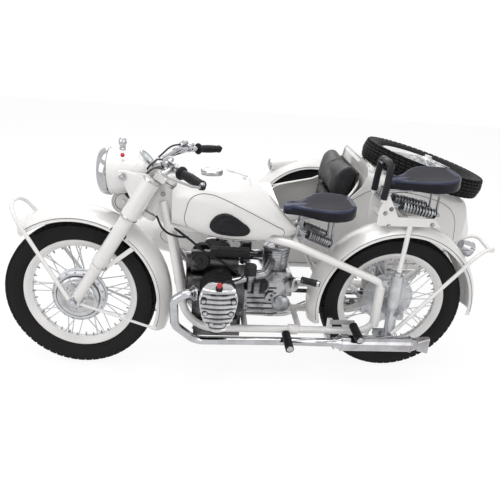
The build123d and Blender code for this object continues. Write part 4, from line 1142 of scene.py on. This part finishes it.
class SIDECAR_OT_sidecar_trim(Maker):
    """Beads, thin lines and lamp of the sidecar"""

    bl_idname = "sidecar.sidecar_trim"
    bl_label = "Sidecar trim"

    def make(self, scene):
        target = surface("sidecar_body")
        stripes = []
        side_line = [
            (-281, 735), (-364, 704), (-434, 643), (-464, 543), (-455, 440), (-400, 385), (-200, 362),
            (100, 354), (500, 354), (850, 362), (1040, 396), (1110, 436), (1090, 474), (950, 518), (700, 556),
            (500, 582), (360, 606), (225, 650), (130, 722), (40, 770), (-100, 768),
        ]
        for side in (1, -1):
            points = line([at(x, -SIDECAR_MID + side * 420, z) for x, z in side_line], cyclic=True, steps=6)
            points.append(points[0])
            for run in cast_runs(target, points, (0, -side, 0), 0.02, reach=0.4):
                stripes.append((tube(run, 0.0013, 6), None))
        piece("sidecar_stripes", "chassis", "stripe_paint", *stripes)
        corners = []
        for corner_x, corner_y, first in ((405, 154, 0), (185, 154, 90), (185, -154, 180), (405, -154, 270)):
            corners += [(corner_x + x, corner_y + y) for x, y in ring_points(90, 7, first, 90)]
        loop = line([Vector((x, y, 0)) for x, y in corners], cyclic=True, steps=3)
        edge = [Vector((p.x, p.y - SIDECAR_MID, between(RIM_LINE, p.x))) for p in loop]
        piece("cockpit_bead", "chassis", "white_enamel", (tube(edge, 7.0, 12, cyclic=True), IN_ROW), smooth=60)
        lens = [(0, 0), (33, 0), (34, 3), (31, 8), (20, 13), (0, 16)]
        ring = [(33, -3), (37.5, -3), (38, 4), (35.5, 7), (33, 6)]
        for name, finish, profile, closed in (
            ("sidecar_lamp_lens", "lamp_glass", lens, False),
            ("sidecar_lamp_ring", "polished_chrome", ring, True),
        ):
            shape = turned(profile, (470, -TRACK, 682), (170, 0, -20), IN_ROW, 36, closed)
            piece(name, "chassis", finish, shape)


HEADLAMP = facing(1289, 0, 901, (math.cos(math.radians(3)), 0, -math.sin(math.radians(3))), IN_FORK)
DIAL = facing(1146, 0, 962, (-1, 0, 1), IN_FORK)
HORN = facing(1248, -36.5, 762, (0, 1, 0), IN_FORK)
TAIL = facing(-246, 0, 656, (-1, 0, -0.42))
LAMP_PARTS = (
    # piece, body, finish, place, steps, whether the profile closes on itself, profile
    ("headlamp_ring", "fork", "polished_chrome", HEADLAMP, 64, True,
     [(84, 1), (97, 0.5), (99.5, 3), (100, 12), (98, 22), (95, 32), (90, 39), (86, 41), (83, 39), (84, 34),
      (88, 28), (90, 14), (84, 8)]),
    ("headlamp_reflector", "fork", "polished_chrome", HEADLAMP, 48, False,
     [(0, 2), (60, 4), (82, 16), (87, 30), (84.5, 31), (79, 18), (58, 7), (0, 5)]),
    ("headlamp_glass", "fork", "lamp_glass", HEADLAMP, 64, False,
     [(0, 47.5), (30, 46.6), (60, 43), (80, 38.5), (86, 35), (85, 32), (78, 35.5), (58, 40), (30, 43.4),
      (0, 44.4)]),
    ("headlamp_bulb", "fork", "dial_face", HEADLAMP, 20, False, [(0, 4), (9, 5), (10, 18), (7, 26), (0, 29)]),
    ("speedometer_bezel", "fork", "polished_chrome", DIAL, 48, True,
     [(33, 5), (40.6, 5), (42, 8), (41, 12), (37, 14.5), (33.5, 12.5), (34, 9)]),
    ("speedometer_face", "fork", "dial_face", DIAL, 48, False,
     [(0, 7.3), (34.5, 7.3), (34.5, 10.4), (0, 10.4)]),
    ("lamp_switch", "fork", "polished_chrome", facing(1242.5, 0, 996, UP, IN_FORK), 24, False,
     [(0, 0), (13, 0), (14, 3), (12, 6), (12, 16), (15, 20), (17, 28), (16, 40), (11, 47), (0, 49)]),
    ("lamp_side_stud", "fork", "red_plastic", facing(1226, 73, 984, (-0.1, 0.75, 0.66), IN_FORK), 18, False,
     [(0, 0), (9, 0), (9, 5), (6, 9), (0, 10)]),
    ("lamp_plug", "fork", "moulded_rubber", facing(1222, 0, 818, (-0.25, 0, -1), IN_FORK), 20, False,
     [(0, 0), (15, 0), (15, 12), (10, 20), (8, 26), (0, 26)]),
    ("horn_line", "fork", "stripe_paint", HORN, 56, True, [(36, 2.6), (38.2, 2.6), (38.2, 4.6), (36, 4.6)]),
    ("tail_lamp_glass", "chassis", "red_glass", TAIL, 36, False,
     [(0, 108), (14, 107.4), (26, 105), (29.5, 103), (29.5, 101), (0, 101)]),
    ("tail_lamp_ring", "chassis", "polished_chrome", TAIL, 36, True,
     [(29, 101), (34.6, 98), (36.4, 96), (36.8, 100), (34.4, 104.6), (31, 106), (29, 105)]),
)


class SIDECAR_OT_lamps(Maker):
    """Headlamp glass and ring, speedometer, horn and tail lamp"""

    bl_idname = "sidecar.lamps"
    bl_label = "Lamps"

    def make(self, scene):
        for name, body, finish, place, steps, closed, profile in LAMP_PARTS:
            shown = piece(name, body, finish, (lathe(profile, steps, closed), place))
            if name == "headlamp_ring":
                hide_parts("headlamp_rim")
        marks = []
        for k in range(13):
            mark = box((-0.8, 0.8), (24 if k % 2 else 21, 30), 0.5)
            turn = Matrix.Rotation(math.radians(-30 + 20 * k), 4, "Z")
            marks.append((mark, DIAL @ Matrix.Translation((0, 0, 10.3)) @ turn))
        needle = box((-0.7, 0.7), (-5, 22), 0.6)
        marks.append((needle, DIAL @ Matrix.Translation((0, 0, 10.8)) @ Matrix.Rotation(2.0, 4, "Z")))
        piece("speedometer_marks", "fork", "stripe_paint", *marks)
        face = [
            (0, 0), (51, 0), (53, 2), (53, 6), (50, 8), (47, 6), (44, 2.6), (20, 5), (14, 7), (12, 12), (0, 13),
        ]
        back = [(0, 0), (52, 0), (50, 12), (44, 22), (28, 28), (26, 32), (0, 32)]
        rear = turned(back, (1248, -37, 762), (0, -1, 0), IN_FORK, 48)
        horn = piece("horn_shell", "fork", "white_enamel", (lathe(face, 56), HORN), rear)
        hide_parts("horn")
        bracket = (box((0, 30), (0, 8), 24, 1.2), IN_FORK @ Matrix.Translation((1172, -52, 750)))
        piece("horn_bracket", "fork", "white_enamel", bracket)


class SIDECAR_OT_controls(Maker):
    """Grips, lever ends, footrest rubbers and the sleeve of the grab handle"""

    bl_idname = "sidecar.controls"
    bl_label = "Controls"

    def make(self, scene):
        tip = [(0, 0), (13, 0), (13, 3), (9, 6), (0, 7)]
        ball = [(0, -9), (6, -7), (9, -2), (9, 2), (6, 7), (0, 9)]
        clamp = [(11.3, -12), (16, -12), (17, -9), (17, 9), (16, 12), (11.3, 12)]
        switch = [(0, 0), (20, 0), (24, 4), (24, 14), (19, 20), (8, 22), (0, 22)]
        adjuster = [(0, 0), (9, 0), (9, 20), (6, 24), (0, 24)]
        clip = [(11.3, -8), (14, -8), (14, 8), (11.3, 8)]
        rubber, ends, balls, clamps = [], [], [], []
        for side in (1, -1):
            start, end = Vector((962, side * 277.5, 974)), Vector((872, side * 395, 961))
            run = end - start
            rubber.append(turned(self.grip(run.length), start, run, IN_FORK, 24, True))
            ends.append(turned(tip, end - run.normalized() * 2, run, IN_FORK, 20))
            balls.append(turned(ball, (866, side * 424, 960), (-0.8, side * 0.5, 0), IN_FORK, 16))
            clamps += [
                turned(clamp, (998, side * 234, 979.2), (-150, side * 195, -22), IN_FORK, 20, True),
                nut_on(1030, side * 249, 968, UP, 7, 6, 2, IN_FORK),
                turned(switch, (1016, side * 212, 994), (0.5, side * 0.25, 0.8), IN_FORK, 28),
                turned(adjuster, (992, side * 242, 990), (-0.4, side * 0.8, 0.3), IN_FORK, 16),
                turned(clip, (1046, side * 166, 977), (-68, side * 120, 36), IN_FORK, 20, True),
            ]
        shown = piece("ribbed_grips", "fork", "moulded_rubber", *rubber, smooth=40)
        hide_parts("grips")
        piece("grip_ends", "fork", "polished_chrome", *ends)
        piece("lever_balls", "fork", "moulded_rubber", *balls)
        piece("lever_clamps", "fork", "polished_chrome", *clamps)
        self.rests()
        handle = [(138, 70, 862), (131, 70, 960), (128, 62, 1000), (128, 40, 1012), (128, 0, 1012)]
        piece("grab_handle_sleeve", "chassis", "moulded_rubber", cable(mirrored(handle), 15.0, IN_ROW, 14, 6))

    def grip(self, length):
        """Profile of a barrel grip with a flange and ribs."""
        profile = [(11.2, 0), (23, 0), (26, 3), (24, 8), (15.5, 11)]
        for k in range(13):
            h = 15 + (length - 34) * k / 12
            swell = 16.4 + 2.2 * math.sin(math.pi * k / 12)
            profile += [(swell, h), (swell, h + 4.6), (swell - 1.6, h + 5.4), (swell - 1.6, h + 8.0)]
        return profile + [(17, length - 6), (18.5, length - 3), (18, length), (11.2, length)]

    def rests(self):
        disc = [(0, 0), (12.5, 0), (13.5, 2), (11, 4), (4, 5), (0, 5)]
        sleeves, discs = [], []
        for start, end in (((505, 128, 223.6), (500, 232, 206)), ((201, 135, 277.6), (193, 240, 262))):
            for side in (1, -1):
                foot, tip = (Vector((x, side * y, z)) for x, y, z in (start, end))
                run = tip - foot
                profile = [(12, 0), (17.4, 0)]
                for k in range(11):
                    h = 2 + (run.length - 8) * k / 11
                    profile += [(19.4, h + 0.5), (19.4, h + 5.2), (17.8, h + 6), (17.8, h + 8)]
                profile += [(19.4, run.length), (12, run.length)]
                sleeves.append(turned(profile, foot, run, steps=20, closed=True))
                discs.append(turned(disc, tip - run.normalized() * 1.2, run, steps=20))
        piece("footrest_rubbers", "chassis", "moulded_rubber", *sleeves, smooth=40)
        piece("footrest_ends", "chassis", "polished_chrome", *discs)


def band(radius, half, edge, lip=1.5, depth=3):
    """Profile of a band round a bar, with chamfered edges that stand out from it."""
    return [
        (radius - depth, -half), (radius, -half), (radius + edge, lip - half), (radius + edge, half - lip),
        (radius, half), (radius - depth, half),
    ]


class SIDECAR_OT_exhaust_trim(Maker):
    """Clamps and joints of the two exhausts"""

    bl_idname = "sidecar.exhaust_trim"
    bl_label = "Exhaust trim"

    def make(self, scene):
        flange = [(20, 0), (31, 0), (33, 2), (33, 8), (31, 10), (20, 10)]
        rings = []
        for side in (1, -1):
            for x, radius, half in ((292, 21.5, 9), (262, 37.4, 3), (-60, 37.4, 3)):
                rings.append(turned(band(radius, half, 1.6), (x, side * 180, 213), AHEAD, closed=True))
            rings.append(nut_on(292, side * 180, 189, (0, side, 0), 6, 12))
            rings.append(turned(flange, (921, side * 184.4, 448.3), (49, side * 24.6, 6.8), IN_ROW, 28, True))
        piece("exhaust_clamps", "chassis", "polished_chrome", *rings)


PLUG_LEAD = [
    (826, 271, 532), (800, 262, 545), (760, 236, 536), (722, 190, 540), (706, 120, 560), (735, 55, 552),
]
BAR_CABLE = [(1014, 226, 996), (1060, 168, 998), (1098, 96, 968), (1128, 52, 936), (1150, 24, 900)]


def other_side(points):
    return [(x, -y, z) for x, y, z in points]


CABLES = (
    # piece, body, place, radius, points
    ("left_plug_lead", "chassis", IN_ROW, 3.6, PLUG_LEAD),
    ("right_plug_lead", "chassis", IN_ROW, 3.6, other_side(PLUG_LEAD)),
    ("throttle_cable", "chassis", IN_ROW, 5.0,
     [(1020, 60, 690), (950, 92, 650), (880, 112, 600), (800, 122, 560), (740, 132, 515), (684, 142, 478)]),
    ("steering_loom", "chassis", IN_ROW, 5.0,
     [(1096, 60, 742), (1060, 92, 690), (1010, 96, 668), (960, 90, 662)]),
    ("front_brake_line", "fork", IN_FORK, 4.0,
     [(1016, -262, 960), (1090, -225, 930), (1160, -160, 850), (1200, -134, 740), (1280, -134, 600),
      (1372, -128, 430), (1412, -96, 384), (1424, -74, 372)]),
    ("left_bar_cable", "fork", IN_FORK, 4.0, BAR_CABLE),
    ("right_bar_cable", "fork", IN_FORK, 4.0, other_side(BAR_CABLE)),
    ("left_bar_loom", "fork", IN_FORK, 4.0,
     [(1022, 232, 970), (1072, 160, 962), (1112, 86, 934), (1140, 40, 902)]),
    ("lamp_loom", "fork", IN_FORK, 4.0,
     [(1218, 0, 796), (1190, 10, 770), (1172, 30, 742), (1150, 50, 725)]),
)


class SIDECAR_OT_cables(Maker):
    """Plug leads and control cables"""

    bl_idname = "sidecar.cables"
    bl_label = "Cables"

    def make(self, scene):
        for name, body, place, radius, points in CABLES:
            piece(name, body, "moulded_rubber", cable(points, radius, place))


LAMP_ARM = [
    (1237, 916), (1230, 926), (1216, 930), (1190, 926), (1140, 914), (1096, 902), (1088, 870), (1110, 812),
    (1140, 764), (1160, 758), (1168, 776), (1172, 808), (1180, 838), (1196, 866), (1220, 890), (1235, 902),
]
RAKE = math.radians(30.5)


class SIDECAR_OT_frame_fittings(Maker):
    """Bolts, clamps and lugs on the frame, forks and rack"""

    bl_idname = "sidecar.frame_fittings"
    bl_label = "Frame fittings"

    def make(self, scene):
        self.bolts()
        self.fork()

    def bolts(self):
        ring = [(9, 0), (15.5, 0), (16, 2), (13, 3.5), (9, 3.5)]
        collar = [(17.2, -22), (22, -22), (23.5, -19), (23.5, 19), (22, 22), (17.2, 22)]
        bolts, collars, ears = [], [], []
        for side in (1, -1):
            out = (0, side, 0)
            for x, z in ((96, 742), (-100, 756), (120, 800), (96, 820)):
                bolts.append(nut_on(x, side * 72, z, out, 8, 6, 3))
            bolts += [nut_on(60, side * 117, z, out, 6, 5, 2) for z in (224, 235)]
            bolts.append(nut_on(60, side * 117, 486, out, 8, 6, 3))
            bolts.append(nut_on(1070, side * 41, 832, out, 9, 6, 3))
            ears.append(nut_on(1216, side * 117, 907, out, 9, 7, 4, IN_FORK))
            ears.append(turned(ring, (1216, side * 116.6, 907), out, IN_FORK, 24, True))
            collars.append(turned(collar, (470, side * LOOP_Y, 230), AHEAD, IN_ROW, 28, True))
        piece("frame_bolts", "chassis", "bare_steel", *bolts)
        piece("lamp_arm_bolts", "fork", "polished_chrome", *ears)
        piece("footrest_clamps", "chassis", "white_enamel", *collars)

    def fork(self):
        axis = Vector((-math.sin(RAKE), 0, math.cos(RAKE)))
        foot = [(24.2, -9), (27, -9), (28, -7), (28, 7), (27, 9), (24.2, 9)]
        outline = line([Vector((x, z, 0)) for x, z in LAMP_ARM], cyclic=True, steps=3)
        stay_foot, stay_top, half = Vector((1300, 498)), Vector((1182, 596)), 10
        run = (stay_top - stay_foot).normalized()
        off = Vector((-run.y, run.x)) * half
        start = stay_foot - run * 6
        strip = [tuple(p) for p in (start - off, stay_top - off, stay_top + off, start + off)]
        arms, rings, stays, heads = [], [], [], []
        for side in (1, -1):
            arm = slab([(p.x, p.y) for p in outline], 24, 5, 3)
            arms.append(standing(arm, 0, side * 102, 0, 24, IN_FORK))
            leg = Vector((WHEELBASE, side * LEG_Y, TYRE_R))
            for along in (461, 646):
                rings.append(turned(band(37.5, 4, 1.8), leg + axis * along, axis, IN_FORK, 40, True))
            stays.append(standing(slab(strip, 5, 2), 0, side * 94, 0, 5, IN_FORK))
            stays.append(turned(foot, leg + axis * 190, axis, IN_FORK, 32, True))
            heads.append(nut_on(stay_foot.x, side * 97, stay_foot.y, (0, side, 0), 9, 6, 4, IN_FORK))
        piece("lamp_arms", "fork", "white_enamel", *arms, smooth=50)
        piece("fork_rings", "fork", "polished_chrome", *rings)
        piece("fender_stays", "fork", "white_enamel", *stays)
        piece("fender_stay_bolts", "fork", "bare_steel", *heads)


LAMPS = [
    # name, place, size, watts
    ("top", (0.6, 0.7, 4.6), 3.4, 118),
    ("fill", (-2.6, 3.8, 2.2), 3.2, 34),
    ("front", (3.4, 3.0, 2.4), 2.6, 34),
    ("back", (0.4, -3.4, 3.2), 3.0, 40),
]
LAMP_TARGET = Vector((0, 0, 0.5))
FLOOR_SHARE, FLOOR_GLOW = 0.86, 1.06  # how much of the floor's light is its own, and how strong that is
CAMERA_PLACE, CAMERA_TURN = (940, 2256, 1544), (173.53, 23.11, 4.59)  # azimuth, height, roll


class SIDECAR_OT_stage(Maker):
    """Floor, light and camera"""

    bl_idname = "sidecar.stage"
    bl_label = "Stage"

    def make(self, scene):
        settings = scene.sidecar_stage
        bm = bmesh.new()
        bmesh.ops.create_grid(bm, x_segments=8, y_segments=8, size=settings.floor / 2)
        mesh = bpy.data.meshes.new("floor")
        bm.to_mesh(mesh)
        bm.free()
        floor = bpy.data.objects.new("floor", mesh)
        scene.collection.objects.link(floor)
        floor.location.z = -0.0005
        finish = Finish("floor_paper", base_color=(0.8, 0.8, 0.8), roughness=0.9)
        paper = Value(finish, finish.shader.outputs[0])
        glow = finish.node("ShaderNodeEmission", None, {"Color": (1, 1, 1), "Strength": FLOOR_GLOW})
        mixed = finish.node("ShaderNodeMixShader", None, {0: finish.seen() * FLOOR_SHARE, 1: paper, 2: glow})
        finish.put(finish.out.inputs[0], mixed)
        mesh.materials.append(finish.material)
        self.light(scene, settings)
        self.camera(scene)
        scene.view_settings.view_transform = "Standard"

    def light(self, scene, settings):
        for name, place, size, watts in LAMPS:
            lamp = bpy.data.lights.new(name, "AREA")
            lamp.size = size
            lamp.energy = watts * settings.lamps
            holder = bpy.data.objects.new(name, lamp)
            scene.collection.objects.link(holder)
            holder.location = place
            holder.rotation_euler = (LAMP_TARGET - Vector(place)).to_track_quat("-Z", "Y").to_euler()
        scene.world = bpy.data.worlds.new("studio")
        nodes = Nodes(scene.world)
        sky = nodes.node("ShaderNodeBackground", None, {"Color": (1.0, 0.985, 0.975), "Strength": settings.sky})
        white = nodes.node("ShaderNodeBackground", None, {"Color": (1, 1, 1)})
        mixed = nodes.node("ShaderNodeMixShader", None, {0: nodes.seen(), 1: sky, 2: white})
        out = nodes.tree.nodes.new("ShaderNodeOutputWorld")
        nodes.put(out.inputs[0], mixed)

    def camera(self, scene):
        lens = bpy.data.cameras.new("camera")
        lens.lens, lens.sensor_width, lens.clip_end = 39.66, 36, 60
        holder = bpy.data.objects.new("camera", lens)
        scene.collection.objects.link(holder)
        azimuth, height, roll = (math.radians(angle) for angle in CAMERA_TURN)
        back = Vector((
            math.sin(azimuth) * math.cos(height), -math.cos(azimuth) * math.cos(height), math.sin(height),
        ))
        right = Vector(UP).cross(back).normalized()
        up = back.cross(right)
        right, up = right * math.cos(roll) + up * math.sin(roll), up * math.cos(roll) - right * math.sin(roll)
        turn = Matrix((right, up, back)).transposed().to_4x4()
        holder.matrix_world = Matrix.Translation(at(*CAMERA_PLACE)) @ turn
        scene.camera = holder


OPERATORS = (
    SIDECAR_OT_finishes, SIDECAR_OT_stage, SIDECAR_OT_tyres, SIDECAR_OT_hubs, SIDECAR_OT_fenders,
    SIDECAR_OT_tank, SIDECAR_OT_engine, SIDECAR_OT_saddles, SIDECAR_OT_cushions, SIDECAR_OT_sidecar_trim,
    SIDECAR_OT_lamps, SIDECAR_OT_controls, SIDECAR_OT_exhaust_trim, SIDECAR_OT_cables,
    SIDECAR_OT_frame_fittings,
)
SETTINGS = {
    "sidecar_paint": PaintSettings, "sidecar_wheels": WheelSettings, "sidecar_soft": SoftSettings,
    "sidecar_stage": StageSettings,
}


class SIDECAR_PT_panel(bpy.types.Panel):
    """Settings and steps of the sidecar motorcycle"""

    bl_idname = "SIDECAR_PT_panel"
    bl_label = "Sidecar motorcycle"
    bl_space_type = "VIEW_3D"
    bl_region_type = "UI"
    bl_category = "Sidecar"

    def draw(self, context):
        for name, kind in SETTINGS.items():
            for key in kind.__annotations__:
                self.layout.prop(getattr(context.scene, name), key)
        for operator in OPERATORS:
            self.layout.operator(operator.bl_idname)


def register():
    for kind in (*SETTINGS.values(), *OPERATORS, SIDECAR_PT_panel):
        bpy.utils.register_class(kind)
    for name, kind in SETTINGS.items():
        setattr(bpy.types.Scene, name, PointerProperty(type=kind))


def unregister():
    for name in SETTINGS:
        delattr(bpy.types.Scene, name)
    for kind in reversed((*SETTINGS.values(), *OPERATORS, SIDECAR_PT_panel)):
        bpy.utils.unregister_class(kind)


def main():
    register()
    for operator in OPERATORS:
        group, action = operator.bl_idname.split(".")
        getattr(getattr(bpy.ops, group), action)()


if __name__ == "__main__":
    main()
